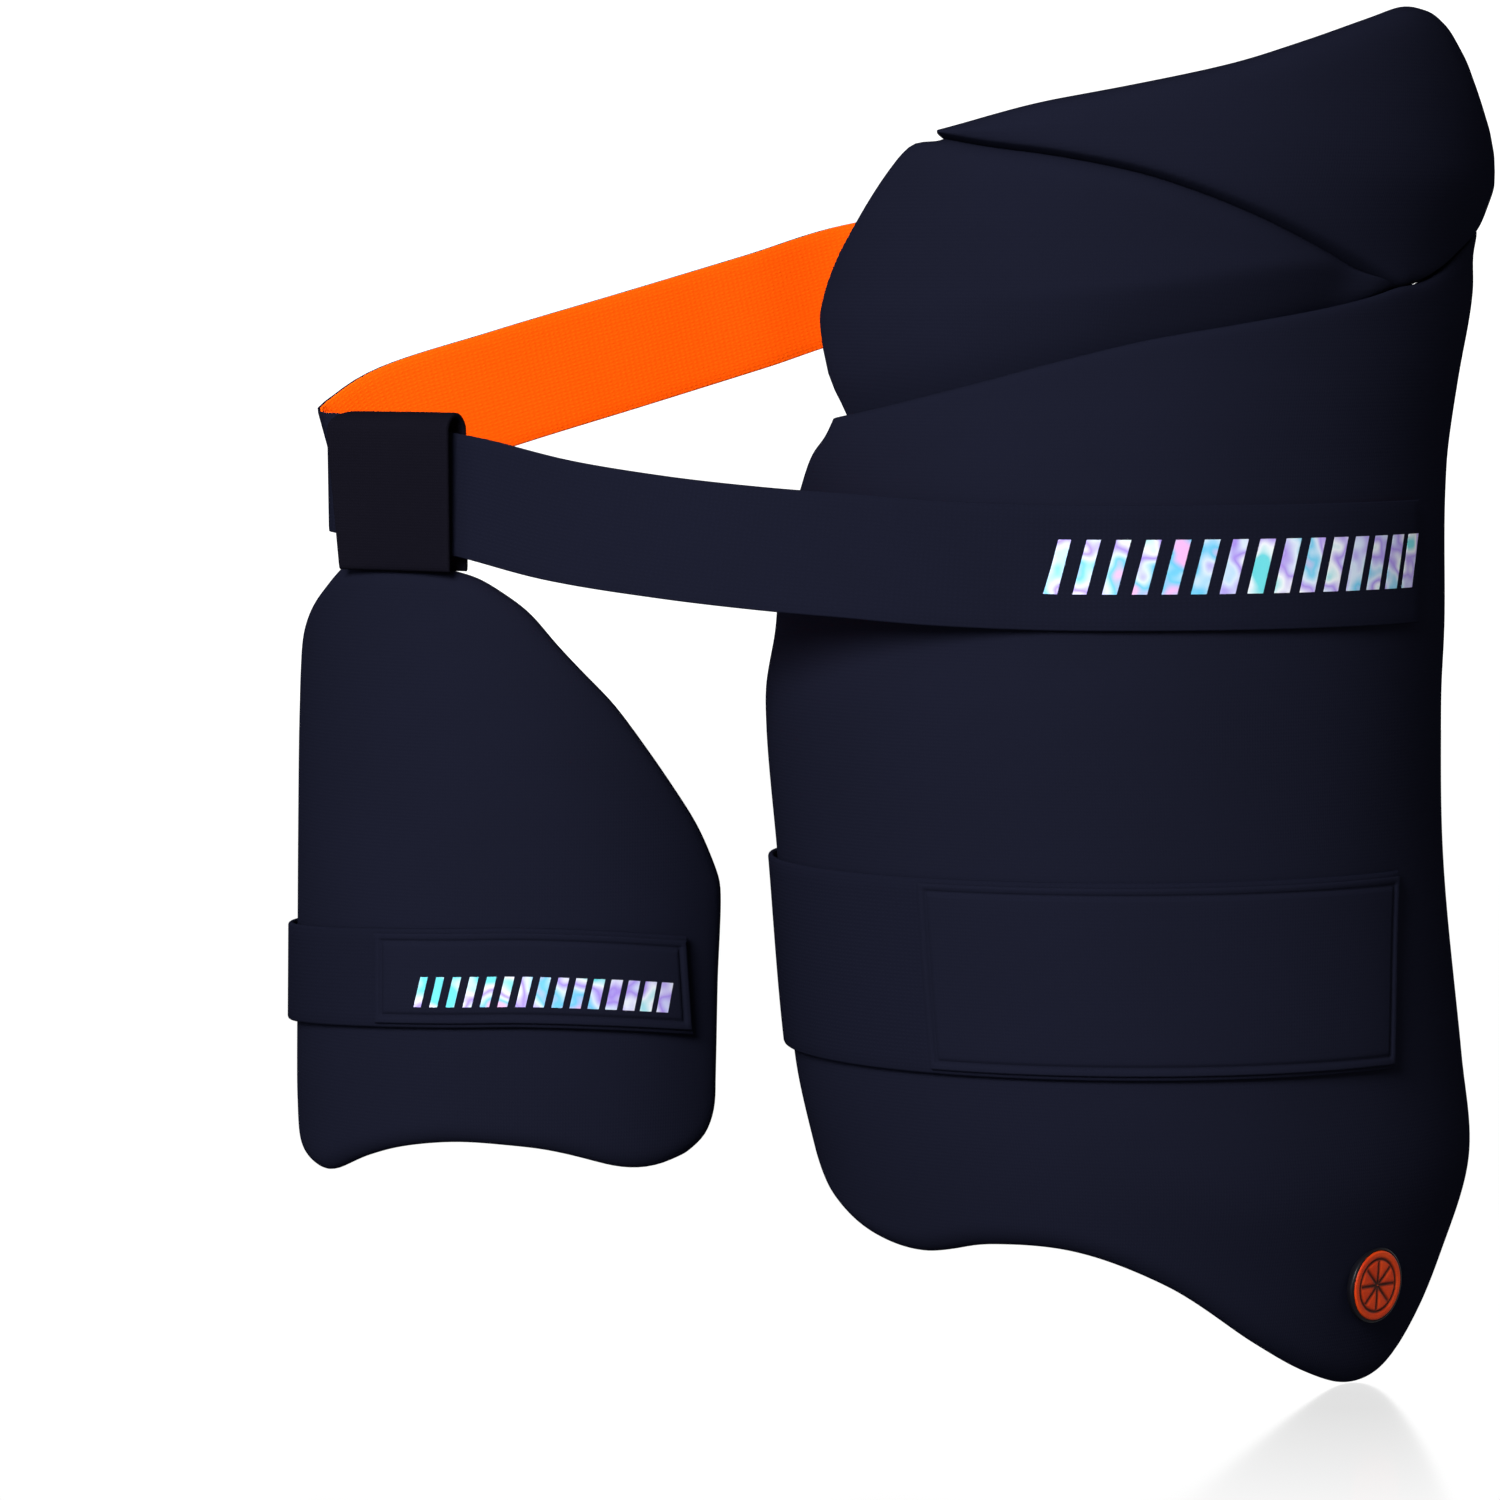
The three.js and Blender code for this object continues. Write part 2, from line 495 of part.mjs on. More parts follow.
// The loop stands on the belt's front arm, and the small guard hangs below it
function beltPlaceAcross(x) {
  const arm = beltMiddle.slice(beltFrontStations - 1).map(({ place }) => place);
  const i = arm.findIndex((place) => place.x < x);
  const share = (x - arm[i].x) / (arm[i - 1].x - arm[i].x);
  return arm[i].clone().lerp(arm[i - 1], share);
}
const loopMiddle = -beltReach + loopTopWidth * loopBendShare;
const loopHalfSpan = loopFootWidth * loopGripShare; // across, from the loop's middle to near its open ends
const beltAtMouths = [loopMiddle - loopHalfSpan, loopMiddle + loopHalfSpan].map(beltPlaceAcross);
const loopAlong = beltAtMouths[1].clone().sub(beltAtMouths[0]).setZ(0).normalize();
const loopPlace = beltPlaceAcross(loopMiddle).lerp(beltAtMouths[0].clone().lerp(beltAtMouths[1], 0.5), 0.5);
const loopOut = new THREE.Vector3(loopAlong.y, -loopAlong.x, 0);
const loopInnerHalf = beltLayer + layerGap / 2 + loopSlack;
const neckTop = loopPlace.z + beltWidth / 2 + loopSlack + loopWall - loopRise + loopLift;

const neckAngle = THREE.MathUtils.degToRad(neckTurn);
const smallMiddleRadius = smallFaceRadius - smallThickness / 2;
const smallLeg = legSurface({
  axisX: loopPlace.x + smallMiddleRadius * Math.sin(neckAngle),
  axisY: loopPlace.y + smallMiddleRadius * Math.cos(neckAngle),
  top: neckTop, rise: smallDrop, drop: smallDrop, faceRadius: smallFaceRadius,
  sections: smallSections, wrapLeft: smallOuterWrap, wrapRight: smallInnerWrap,
});

function thighPanel() {
  return foamPanel({
    leg: largeLeg,
    edges: {
      left: edgeCurve(largeLeg, thighCrotchEdge, -foldGap / 2),
      right: edgeCurve(largeLeg, thighHipEdge, -foldGap / 2),
      bottom: edgeCurve(largeLeg, thighFoot, -foldGap / 2),
      top: edgeCurve(largeLeg, lowerFold, -foldGap / 2),
    },
    rounds: { left: edgeRound, right: edgeRound, bottom: edgeRound, top: valleyRound },
    left: { top: valleyShare },
    thickness: thighThickness, columns: 20, rows: 16,
  });
}

// Rows of a fold up to a turn, or from it on, with the meeting point itself
function splitFold(rows, turn) {
  const meeting = { turn, height: columnAt(rows, 'turn', 'height', turn) };
  return {
    before: [...rows.filter((row) => row.turn < turn - rowMargin), meeting],
    after: [meeting, ...rows.filter((row) => row.turn > turn + rowMargin)],
  };
}

// Waist panel: a wedge between the two folds, ending in a point where they meet
function waistPanel() {
  const underEdge = splitFold(lowerFold, foldMeeting - waistTip.under).before;
  const overEdge = splitFold(upperFold, foldMeeting - waistTip.over).before;
  return foamPanel({
    leg: largeLeg,
    edges: {
      left: edgeCurve(largeLeg, [underEdge[0], ...waistCrotchEdge.slice(1)], foldGap / 2),
      right: edgeCurve(largeLeg, [underEdge.at(-1), overEdge.at(-1)], foldGap / 2),
      bottom: edgeCurve(largeLeg, underEdge, foldGap / 2),
      top: edgeCurve(largeLeg, overEdge, foldGap / 2),
    },
    rounds: { left: edgeRound, right: lapRound, bottom: valleyRound, top: lapRound },
    left: { right: valleyShare, bottom: valleyShare, top: lapShare },
    thickness: waistThickness, columns: 14, rows: 8,
  });
}

// Hip flap: from a point at its left, over the upper fold, to a rounded wing at the hip
function hipFlap() {
  const overLower = splitFold(lowerFold, foldMeeting + flapTurnsOff).after
    .filter((row) => row.turn < flapLeavesFold);
  const lift = foldGap * 1.5;
  const foot = [...upperFold, ...overLower, hipBackEdge[0]];
  return foamPanel({
    leg: largeLeg,
    edges: {
      left: edgeCurve(largeLeg, [foot[0], hipTop[0]], lift),
      right: edgeCurve(largeLeg, hipBackEdge, lift),
      bottom: edgeCurve(largeLeg, foot, lift),
      top: edgeCurve(largeLeg, hipTop, lift),
    },
    rounds: { left: lapRound, right: edgeRound, bottom: lapRound, top: edgeRound },
    left: { bottom: lapShare },
    thickness: hipThickness, columns: 18, rows: 8,
  });
}

function smallPad() {
  return foamPanel({
    leg: smallLeg,
    edges: {
      left: edgeCurve(smallLeg, smallOuterEdge),
      right: edgeCurve(smallLeg, smallInnerEdge),
      bottom: edgeCurve(smallLeg, smallFoot),
      top: edgeCurve(smallLeg, smallNeck),
    },
    rounds: { left: edgeRound, right: edgeRound, bottom: edgeRound, top: edgeRound * 0.8 },
    thickness: smallThickness, columns: 14, rows: 14,
  });
}

// A strap: on the front of its guard, over the edge, round the back and under the other edge
function strapStations({ leg, endTurn, slant, edgeTurn, tailTurn, back, middleAt, width, thickness }) {
  const stations = [];
  const step = 5;
  const outside = seatGap + strapThickness / 2;
  const inside = -thickness - seatGap - strapThickness / 2;
  const station = (turn, lift, tilt) => strapStation(
    leg, { bottom: turn - tilt, top: turn + tilt }, middleAt(turn), width, lift);
  const frontTurn = endTurn + edgeTurn;
  const frontSteps = Math.ceil(frontTurn / step);
  for (let i = 0; i <= frontSteps; i += 1) {
    const share = i / frontSteps;
    stations.push(station(endTurn - frontTurn * share, outside, slant * (1 - share) ** 3));
  }
  const hidden = [
    { turn: -edgeTurn, lift: outside },
    ...back.map(({ turn, reach }) => ({ turn, lift: leg.faceRadius * (reach - 1) })),
    { turn: tailTurn - 360, lift: inside },
  ].reverse();
  for (let turn = -edgeTurn - 8; turn > tailTurn - 356; turn -= 8) {
    stations.push(station(turn, columnAt(hidden, 'turn', 'lift', turn), 0));
  }
  const tailSteps = Math.ceil(strapTailTurn / step);
  for (let i = 0; i <= tailSteps; i += 1) {
    stations.push(station(tailTurn - 360 - (strapTailTurn * i) / tailSteps, inside, 0));
  }
  return stations;
}

const largeStrap = {
  leg: largeLeg, endTurn: largeStrapEndTurn, slant: largeStrapSlant, edgeTurn: crotchWrap,
  tailTurn: hipWrap, back: largeStrapBack, middleAt: () => -largeStrapDrop,
  width: largeStrapWidth, thickness: thighThickness,
};
const smallStrap = {
  leg: smallLeg, endTurn: smallStrapEndTurn, slant: 0, edgeTurn: smallOuterWrap,
  tailTurn: smallInnerWrap, back: smallStrapBack,
  middleAt: (turn) => neckTop - smallStrapDrop
    + smallStrapWidth * columnAt(smallStrapSag, 'turn', 'rise', turn),
  width: smallStrapWidth, thickness: smallThickness,
};

// Fastening tab on a strap's front: a thin panel that leaves a bare margin of strap round it
function strapTab({ leg, endTurn, slant, middleAt, width }, coverTurn) {
  const stations = [];
  const steps = Math.ceil(coverTurn / 5);
  const start = endTurn - tabMargin / leg.mmPerDegree;
  for (let i = 0; i <= steps; i += 1) {
    const turn = start - (coverTurn * i) / steps;
    const share = (endTurn - turn) / coverTurn;
    const tilt = slant * (1 - share) ** 3 + slant * 0.4 * share;
    const turns = { bottom: turn - tilt, top: turn + tilt };
    stations.push(strapStation(leg, turns, middleAt(turn), width - 2 * tabMargin, seatGap + strapThickness));
  }
  return ribbon(stations, layerGap, layerGap + tabThickness);
}

// Loop: a band from the neck up in front of the belt, over it, and down behind it
function beltLoop() {
  const top = neckTop + loopRise;
  const foot = neckTop - loopFootDrop;
  const bendRadius = loopInnerHalf + loopWall / 2;
  const across = [];
  const straight = (side, share) => ({
    out: side * bendRadius, z: THREE.MathUtils.lerp(foot, top - bendRadius, share), inwards: side,
  });
  for (const share of [0, 0.2, 0.4, 0.7, 1]) across.push(straight(1, share));
  const bendSteps = 6;
  for (let i = 1; i < bendSteps; i += 1) {
    const angle = (Math.PI * i) / bendSteps;
    across.push({
      out: bendRadius * Math.cos(angle), z: top - bendRadius + bendRadius * Math.sin(angle), angle,
    });
  }
  for (const share of [1, 0.7, 0.4, 0.2, 0]) across.push(straight(-1, share));
  const layer = (offset) => across.map(({ out, z, inwards, angle }) => {
    const outwards = inwards === undefined ? Math.cos(angle) : inwards;
    const upwards = inwards === undefined ? Math.sin(angle) : 0;
    const widthShare = (z - foot) / (top - foot);
    const half = THREE.MathUtils.lerp(loopFootWidth, loopTopWidth, widthShare) / 2;
    const shift = loopFootShift * (1 - widthShare);
    const backShare = (1 - outwards) / 2;
    const nearBend = shift - half + loopBackSetIn * backShare;
    const farEnd = shift + half + loopBackReach * backShare;
    return [0, 0.25, 0.5, 0.75, 1].map((share) => loopPlace.clone().setZ(z + upwards * offset)
      .addScaledVector(loopAlong, THREE.MathUtils.lerp(farEnd, nearBend, share))
      .addScaledVector(loopOut, out + outwards * offset));
  });
  return shell(layer(loopWall / 2), layer(-loopWall / 2));
}

// Badge: a round rubber dish with an orange emblem in it, square to the guard's face
function badge() {
  const group = new THREE.Group();
  const nearby = 2;
  const centre = largeLeg.point(badgeTurn, -badgeDrop, seatGap);
  const upward = largeLeg.point(badgeTurn, -badgeDrop + nearby, seatGap).sub(centre);
  const sideways = largeLeg.point(badgeTurn + nearby, -badgeDrop, seatGap).sub(centre);
  const outward = sideways.cross(upward).normalize();
  const dish = new THREE.LatheGeometry([
    [0, 0], [badgeRadius, 0], [badgeRadius, badgeThickness * 0.6],
    [badgeRadius - badgeRim * 0.35, badgeThickness + emblemThickness * 0.8],
    [badgeRadius - badgeRim, badgeThickness + emblemThickness * 0.8],
    [badgeRadius - badgeRim, badgeThickness], [0, badgeThickness],
  ].map(([x, y]) => new THREE.Vector2(x, y)), 28);
  const emblemRadius = badgeRadius - badgeRim - emblemGap;
  const emblem = new THREE.LatheGeometry([
    [0, badgeThickness + emblemGap], [emblemRadius, badgeThickness + emblemGap],
    [emblemRadius, badgeThickness + emblemGap + emblemThickness * 0.6],
    [emblemRadius * 0.93, badgeThickness + emblemGap + emblemThickness],
    [0, badgeThickness + emblemGap + emblemThickness],
  ].map(([x, y]) => new THREE.Vector2(x, y)), 28);
  group.add(sceneMesh('badge_dish', closed(dish), blackRubber));
  group.add(sceneMesh('badge_emblem', closed(emblem), orangeRubber));
  group.position.copy(centre);
  group.quaternion.setFromUnitVectors(new THREE.Vector3(0, 1, 0), outward);
  return group;
}

// A lathe's seam and poles joined into one skin
function closed(geometry) {
  geometry.deleteAttribute('normal');
  geometry.deleteAttribute('uv');
  return mergeVertices(geometry, 1e-4);
}

const halfStrap = strapThickness / 2;
const guard = new THREE.Group();
guard.add(sceneMesh('thigh_panel', thighPanel(), navy));
guard.add(sceneMesh('waist_panel', waistPanel(), navy));
guard.add(sceneMesh('hip_flap', hipFlap(), navy));
guard.add(sceneMesh('inner_pad', smallPad(), navy));
guard.add(sceneMesh('waist_belt', ribbon(beltLine, layerGap / 2, layerGap / 2 + beltLayer), navy));
guard.add(sceneMesh('belt_lining', ribbon(beltLine, -layerGap / 2 - beltLayer, -layerGap / 2), orange));
guard.add(sceneMesh('thigh_strap', ribbon(strapStations(largeStrap), -halfStrap, halfStrap), navy));
guard.add(sceneMesh('thigh_strap_tab', strapTab(largeStrap, largeTabTurn), navy));
guard.add(sceneMesh('inner_strap', ribbon(strapStations(smallStrap), -halfStrap, halfStrap), navy));
guard.add(sceneMesh('inner_strap_tab', strapTab(smallStrap, smallTabTurn), navy));
guard.add(sceneMesh('belt_loop', beltLoop(), darkNavy));
guard.add(badge());

export default guard;
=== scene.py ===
# Cricket thigh guard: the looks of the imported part, in metres, +Z up, waist's centre at the origin
import math

import bpy
import numpy as np
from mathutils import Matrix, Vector


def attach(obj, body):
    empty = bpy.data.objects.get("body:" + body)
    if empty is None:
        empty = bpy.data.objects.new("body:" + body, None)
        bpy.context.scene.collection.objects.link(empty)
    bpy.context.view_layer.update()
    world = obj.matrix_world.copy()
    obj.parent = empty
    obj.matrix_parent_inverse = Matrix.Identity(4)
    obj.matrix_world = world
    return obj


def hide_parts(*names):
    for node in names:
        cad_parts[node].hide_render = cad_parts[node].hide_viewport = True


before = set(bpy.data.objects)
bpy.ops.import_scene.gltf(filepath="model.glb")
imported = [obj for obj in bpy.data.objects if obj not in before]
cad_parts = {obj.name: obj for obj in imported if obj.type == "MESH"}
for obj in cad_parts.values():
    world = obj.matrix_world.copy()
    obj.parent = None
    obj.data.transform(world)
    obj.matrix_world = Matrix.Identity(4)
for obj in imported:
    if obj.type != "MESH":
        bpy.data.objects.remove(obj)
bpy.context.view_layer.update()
mm = 0.001
print("frame loaded:", len(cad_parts), "nodes")

# camera first: 4 degrees above level, 2.2 m off, aimed at the middle of the picture
cameraSet = dict(distance=2200.0, elevation=4.0, aim=(-20.0, 0.0, -94.0), scale=0.318, picture=1500)


def addObject(name, data):
    made = bpy.data.objects.new(name, data)
    bpy.context.scene.collection.objects.link(made)
    return made


def placeCamera(s):
    # lens from the scale at the aim: picture width in mm there, over the distance, times the sensor
    data = bpy.data.cameras.new("studioCamera")
    data.sensor_width = 36.0
    data.lens = 36.0 * s["distance"] / (s["picture"] * s["scale"])
    data.clip_end = 20.0
    camera = addObject("studioCamera", data)
    tilt = math.radians(s["elevation"])
    back = Vector((0, -math.cos(tilt), math.sin(tilt))) * s["distance"]
    camera.location = (Vector(s["aim"]) + back) * mm
    camera.rotation_euler = (math.pi / 2 - tilt, 0, 0)
    bpy.context.scene.camera = camera


placeCamera(cameraSet)

# sizes, in mm, and degrees round each leg from its front. They follow the solids, with small touches for the
# looks: the belt's front arm hangs 0.7 mm lower past the loop, and its back arm starts 3 mm higher
large = dict(axisX=93.5, axisY=0.0, top=0.0, rise=139.0, drop=288.0, face=106.5, left=97.0, right=104.0)
small = dict(face=82.0, drop=194.1, left=97.0, right=46.0, neckTurn=37.5, thickness=12.0)
belt = dict(width=38.0, drop=31.5, layer=1.0, gap=0.3, reach=153.0, depth=138.0, rise=62.0,
            contactTurn=12.0, endTurn=59.0, tailLength=38.0, tailRise=0.048, bendDepth=0.0145,
            bendRise=-0.082, spacing=2.5)
largeFoam, waistFoam = 14.0, 13.0  # thicknesses
seatGap = 0.4  # between a strap or the badge and the cover under it

# columns: height, across, depth, flare; heights are shares of the rise or drop, the rest of the face radius
largeSections = np.array([
    (-1.000, 0.089, 0.047, 0.873), (-0.878, 0.099, 0.028, 0.930), (-0.771, 0.106, 0.009, 0.988),
    (-0.660, 0.061, 0.000, 1.000), (-0.441, 0.005, -0.009, 0.995), (-0.267, -0.018, -0.005, 1.009),
    (-0.184, 0.000, 0.000, 1.000), (-0.035, 0.000, 0.000, 1.000), (0.180, 0.033, 0.009, 1.005),
    (0.374, 0.066, 0.023, 1.019), (0.468, 0.070, 0.028, 1.023), (0.647, 0.105, 0.047, 1.058),
    (1.010, 0.120, 0.075, 1.056)])
smallSections = np.array([(-1.0, -0.018, 0.0, 1.0), (0.0, 0.006, 0.0, 1.0)])
large["sections"] = largeSections
small["sections"] = smallSections

# outlines, columns: turn as a share of the wrap on its side, height as a share of rise or drop
thighFoot = [
    (-0.820, -0.815), (-0.664, -0.842), (-0.496, -0.853), (-0.327, -0.837), (-0.158, -0.840),
    (0.019, -0.876), (0.203, -0.944), (0.330, -0.981), (0.452, -1.000), (0.545, -0.990), (0.650, -0.940),
    (0.725, -0.890), (0.792, -0.836)]
thighCrotchEdge = [
    (-0.820, -0.815), (-0.930, -0.770), (-0.985, -0.700), (-1.000, -0.560), (-1.000, -0.340),
    (-0.980, -0.215), (-0.885, -0.120), (-0.762, -0.050), (-0.690, 0.018), (-0.648, 0.062), (-0.630, 0.100)]
thighHipEdge = [
    (0.792, -0.836), (0.897, -0.758), (0.972, -0.670), (1.000, -0.560), (1.000, -0.260), (1.000, 0.050),
    (1.000, 0.330), (0.985, 0.455), (0.940, 0.535)]
lowerFold = [
    (-0.630, 0.100), (-0.500, 0.125), (-0.300, 0.180), (-0.142, 0.233), (0.004, 0.279), (0.146, 0.313),
    (0.301, 0.348), (0.392, 0.372), (0.462, 0.394), (0.520, 0.403), (0.590, 0.428), (0.690, 0.475),
    (0.820, 0.519), (0.940, 0.535)]
upperFold = [
    (-0.403, 0.728), (-0.310, 0.708), (-0.173, 0.684), (-0.038, 0.648), (0.049, 0.612), (0.162, 0.556),
    (0.289, 0.487), (0.380, 0.437), (0.462, 0.395)]
waistCrotchEdge = [
    (-0.630, 0.100), (-0.668, 0.173), (-0.704, 0.244), (-0.716, 0.306), (-0.695, 0.386), (-0.592, 0.530),
    (-0.503, 0.650), (-0.455, 0.703), (-0.403, 0.728)]
hipTop = [
    (-0.408, 0.741), (-0.214, 0.783), (-0.044, 0.823), (0.109, 0.869), (0.220, 0.916), (0.352, 0.973),
    (0.430, 1.000), (0.502, 0.983), (0.572, 0.914), (0.655, 0.800), (0.745, 0.708), (0.850, 0.645)]
hipBackEdge = [(0.895, 0.538), (0.905, 0.590), (0.850, 0.645)]
foldMeeting = 0.462
smallFoot = [
    (-0.730, -0.999), (-0.645, -1.000), (-0.487, -0.966), (-0.380, -0.946), (-0.272, -0.934),
    (-0.187, -0.930), (-0.087, -0.933), (0.026, -0.940), (0.215, -0.954), (0.383, -0.969), (0.517, -0.974),
    (0.641, -0.970), (0.793, -0.955)]
smallOuterEdge = [
    (-0.730, -0.999), (-0.860, -0.983), (-0.950, -0.940), (-0.990, -0.870), (-1.000, -0.760),
    (-1.000, -0.420), (-0.960, -0.230), (-0.880, -0.125), (-0.760, -0.066), (-0.668, -0.033),
    (-0.595, -0.004)]
smallInnerEdge = [
    (0.793, -0.955), (0.911, -0.929), (0.975, -0.886), (0.983, -0.830), (0.990, -0.681), (1.000, -0.512),
    (0.962, -0.484), (0.850, -0.420), (0.691, -0.351), (0.530, -0.284), (0.361, -0.216), (0.193, -0.162),
    (0.067, -0.120), (-0.036, -0.069), (-0.105, -0.036), (-0.165, -0.014), (-0.225, -0.003)]
smallNeck = [
    (-0.595, -0.004), (-0.520, 0.000), (-0.310, 0.000), (-0.225, -0.003)]

# belt's front arm from its bend (0) to the large guard (1): across, depth, rise, lean in degrees
beltFrontArm = [
    (0.000, 0.000, 0.000, 0), (0.024, 0.074, 0.045, 0), (0.099, 0.190, 0.145, 0), (0.203, 0.330, 0.285, 3),
    (0.326, 0.474, 0.530, 9), (0.469, 0.630, 0.705, 13), (0.611, 0.765, 0.822, 11), (0.731, 0.862, 0.890, 8),
    (0.845, 0.938, 0.956, 4)]
# its back arm: across from the bend to the hip edge, depth and rise from the waist's centre
beltBackArm = [
    (0.005, 0.047, -0.050), (0.022, 0.083, 0.022), (0.053, 0.138, 0.134), (0.161, 0.317, 0.326),
    (0.283, 0.520, 0.523), (0.401, 0.719, 0.716), (0.500, 0.884, 0.880), (0.645, 1.000, 0.984),
    (0.793, 0.942, 0.855), (0.897, 0.754, 0.613), (0.959, 0.522, 0.320), (0.987, 0.304, 0.113)]
# straps behind the leg: turn in degrees, reach as a share of the face radius
largeStrapBack = [(-112, 1.000), (-130, 0.955), (-155, 0.905), (-185, 0.880), (-215, 0.865), (-240, 0.858)]
smallStrapBack = [
    (-112, 1.005), (-130, 0.970), (-155, 0.905), (-180, 0.880), (-203, 0.850), (-222, 0.740), (-242, 0.605),
    (-266, 0.535), (-288, 0.575), (-303, 0.690)]
# each strap's middle: turn in degrees, rise as a share of its width
levelStrap = np.array([(-360.0, 0.0), (180.0, 0.0)])
smallStrapSag = np.array([
    (-345, -0.15), (-270, -0.19), (-180, -0.22), (-97, -0.19), (-41, -0.06), (-20, -0.02), (-3, 0.0),
    (16, -0.04), (36, -0.13)], float)


def columnAt(table, column, x):
    # cubic through the table's rows, each slope taken from the rows on either side
    keys, values = table[:, 0], table[:, column]
    last = len(keys) - 1
    at = np.clip(x, keys[0], keys[last])
    i = np.clip(np.searchsorted(keys, at) - 1, 0, last - 1)
    before, after = np.maximum(i - 1, 0), np.minimum(i + 2, last)
    span = keys[i + 1] - keys[i]
    t = (at - keys[i]) / span
    slopeIn = (values[i + 1] - values[before]) / (keys[i + 1] - keys[before]) * span
    slopeOut = (values[after] - values[i]) / (keys[after] - keys[i]) * span
    return (values[i] * (1 + 2 * t) * (1 - t) ** 2 + values[i + 1] * t * t * (3 - 2 * t)
            + slopeIn * t * (1 - t) ** 2 - slopeOut * t * t * (1 - t))


def legPoint(leg, turn, z, outside):
    # a level circle round the leg's axis, moved and flared by height: x + r sin, y - r cos
    turn, z, outside = np.broadcast_arrays(*(np.asarray(v, float) for v in (turn, z, outside)))
    share = (z - leg["top"]) / np.where(z > leg["top"], leg["rise"], leg["drop"])
    across, depth, flare = (columnAt(leg["sections"], c, share) for c in (1, 2, 3))
    angle = np.radians(turn)
    radius = leg["face"] * flare + outside
    return np.stack([leg["axisX"] + leg["face"] * across + radius * np.sin(angle),
                     leg["axisY"] + leg["face"] * depth - radius * np.cos(angle), z], -1)


def splinePoints(points, perSpan):
    # centripetal curve through the points: knots spaced by the square root of each chord
    p = np.asarray(points, float)
    p = np.vstack([2 * p[0] - p[1], p, 2 * p[-1] - p[-2]])
    knot = np.sqrt(np.linalg.norm(np.diff(p, axis=0), axis=1))
    x0, x1, x2, x3 = p[:-3], p[1:-2], p[2:-1], p[3:]
    d0, d1, d2 = (k[:, None] for k in (knot[:-2], knot[1:-1], knot[2:]))
    m1 = ((x1 - x0) / d0 - (x2 - x0) / (d0 + d1) + (x2 - x1) / d1) * d1
    m2 = ((x2 - x1) / d1 - (x3 - x1) / (d1 + d2) + (x3 - x2) / d2) * d1
    t = (np.arange(perSpan) / perSpan)[None, :, None]
    a, b, c, d = (v[:, None, :] for v in (x1, m1, -3 * x1 + 3 * x2 - 2 * m1 - m2, 2 * x1 - 2 * x2 + m1 + m2))
    body = (a + b * t + c * t ** 2 + d * t ** 3).reshape(-1, p.shape[1])
    return np.vstack([body, p[-2]])


def runOf(line):
    # length along a line up to each of its points
    return np.concatenate([[0], np.cumsum(np.linalg.norm(np.diff(line[:, :3], axis=0), axis=1))])


def evenly(line, shares):
    # points at the given shares of the line's length
    run = runOf(line)
    at = np.asarray(shares) * run[-1]
    return np.stack([np.interp(at, run, line[:, k]) for k in range(line.shape[1])], -1)


def unit(v):
    # each row over its length
    return v / np.linalg.norm(v, axis=-1, keepdims=True)


def smoothStep(x, low, high):
    # 0 below low, 1 above high, and 3 t squared less 2 t cubed between them
    t = np.clip((x - low) / (high - low), 0, 1)
    return t * t * (3 - 2 * t)


def edgeLine(leg, rows, lift):
    # an outline laid flat: mm round the leg, and mm up
    r = np.asarray(rows, float)
    turn = np.where(r[:, 0] > 0, r[:, 0] * leg["right"], r[:, 0] * leg["left"])
    height = leg["top"] + np.where(r[:, 1] > 0, r[:, 1] * leg["rise"], r[:, 1] * leg["drop"])
    return splinePoints(np.stack([np.radians(turn) * leg["face"], height + lift], -1), 30)


def edgeLines(leg, lift, **sides):
    return {side: edgeLine(leg, rows, lift) for side, rows in sides.items()}


def distanceTo(points, line):
    # least distance from each point to the line's straight pieces
    a = line[:-1]
    ab = line[1:] - a
    rel = points[:, None, :] - a[None]
    t = np.clip((rel * ab).sum(-1) / np.maximum((ab * ab).sum(-1), 1e-12), 0, 1)
    return np.linalg.norm(rel - t[..., None] * ab, axis=-1).min(1)


def linesAcross(length, startRound, endRound, middle):
    # grid lines: close together where the edge is rounded, even between
    shares = np.array([0, 0.05, 0.18, 0.42, 1.0])
    start, end = shares * startRound / length, 1 - shares[::-1] * endRound / length
    return np.concatenate([start, np.linspace(start[-1], end[0], middle + 1)[1:-1], end])


def coonsPatch(edges, across, up):
    # blend of the two pairs of facing edges, less the blend of the four corners
    bottom, top = evenly(edges["bottom"], across)[:, None], evenly(edges["top"], across)[:, None]
    left, right = evenly(edges["left"], up)[None], evenly(edges["right"], up)[None]
    u, v = across[:, None, None], up[None, :, None]
    return (bottom * (1 - v) + top * v + left * (1 - u) + right * u
            - bottom[:1] * (1 - u) * (1 - v) - bottom[-1:] * u * (1 - v)
            - top[:1] * (1 - u) * v - top[-1:] * u * v)


def shellFaces(columns, rows):
    # closed skin of an outer and an inner grid: both grids' quads, and a wall of quads round the border
    outer = np.arange(columns * rows).reshape(columns, rows)
    inner = outer + columns * rows
    return np.concatenate([
        np.stack([outer[:-1, :-1], outer[1:, :-1], outer[1:, 1:], outer[:-1, 1:]], -1).reshape(-1, 4),
        np.stack([inner[:-1, :-1], inner[:-1, 1:], inner[1:, 1:], inner[1:, :-1]], -1).reshape(-1, 4),
        np.stack([inner[:-1, 0], inner[1:, 0], outer[1:, 0], outer[:-1, 0]], -1),
        np.stack([outer[:-1, -1], outer[1:, -1], inner[1:, -1], inner[:-1, -1]], -1),
        np.stack([outer[0, :-1], outer[0, 1:], inner[0, 1:], inner[0, :-1]], -1),
        np.stack([inner[-1, :-1], inner[-1, 1:], outer[-1, 1:], outer[-1, :-1]], -1)])


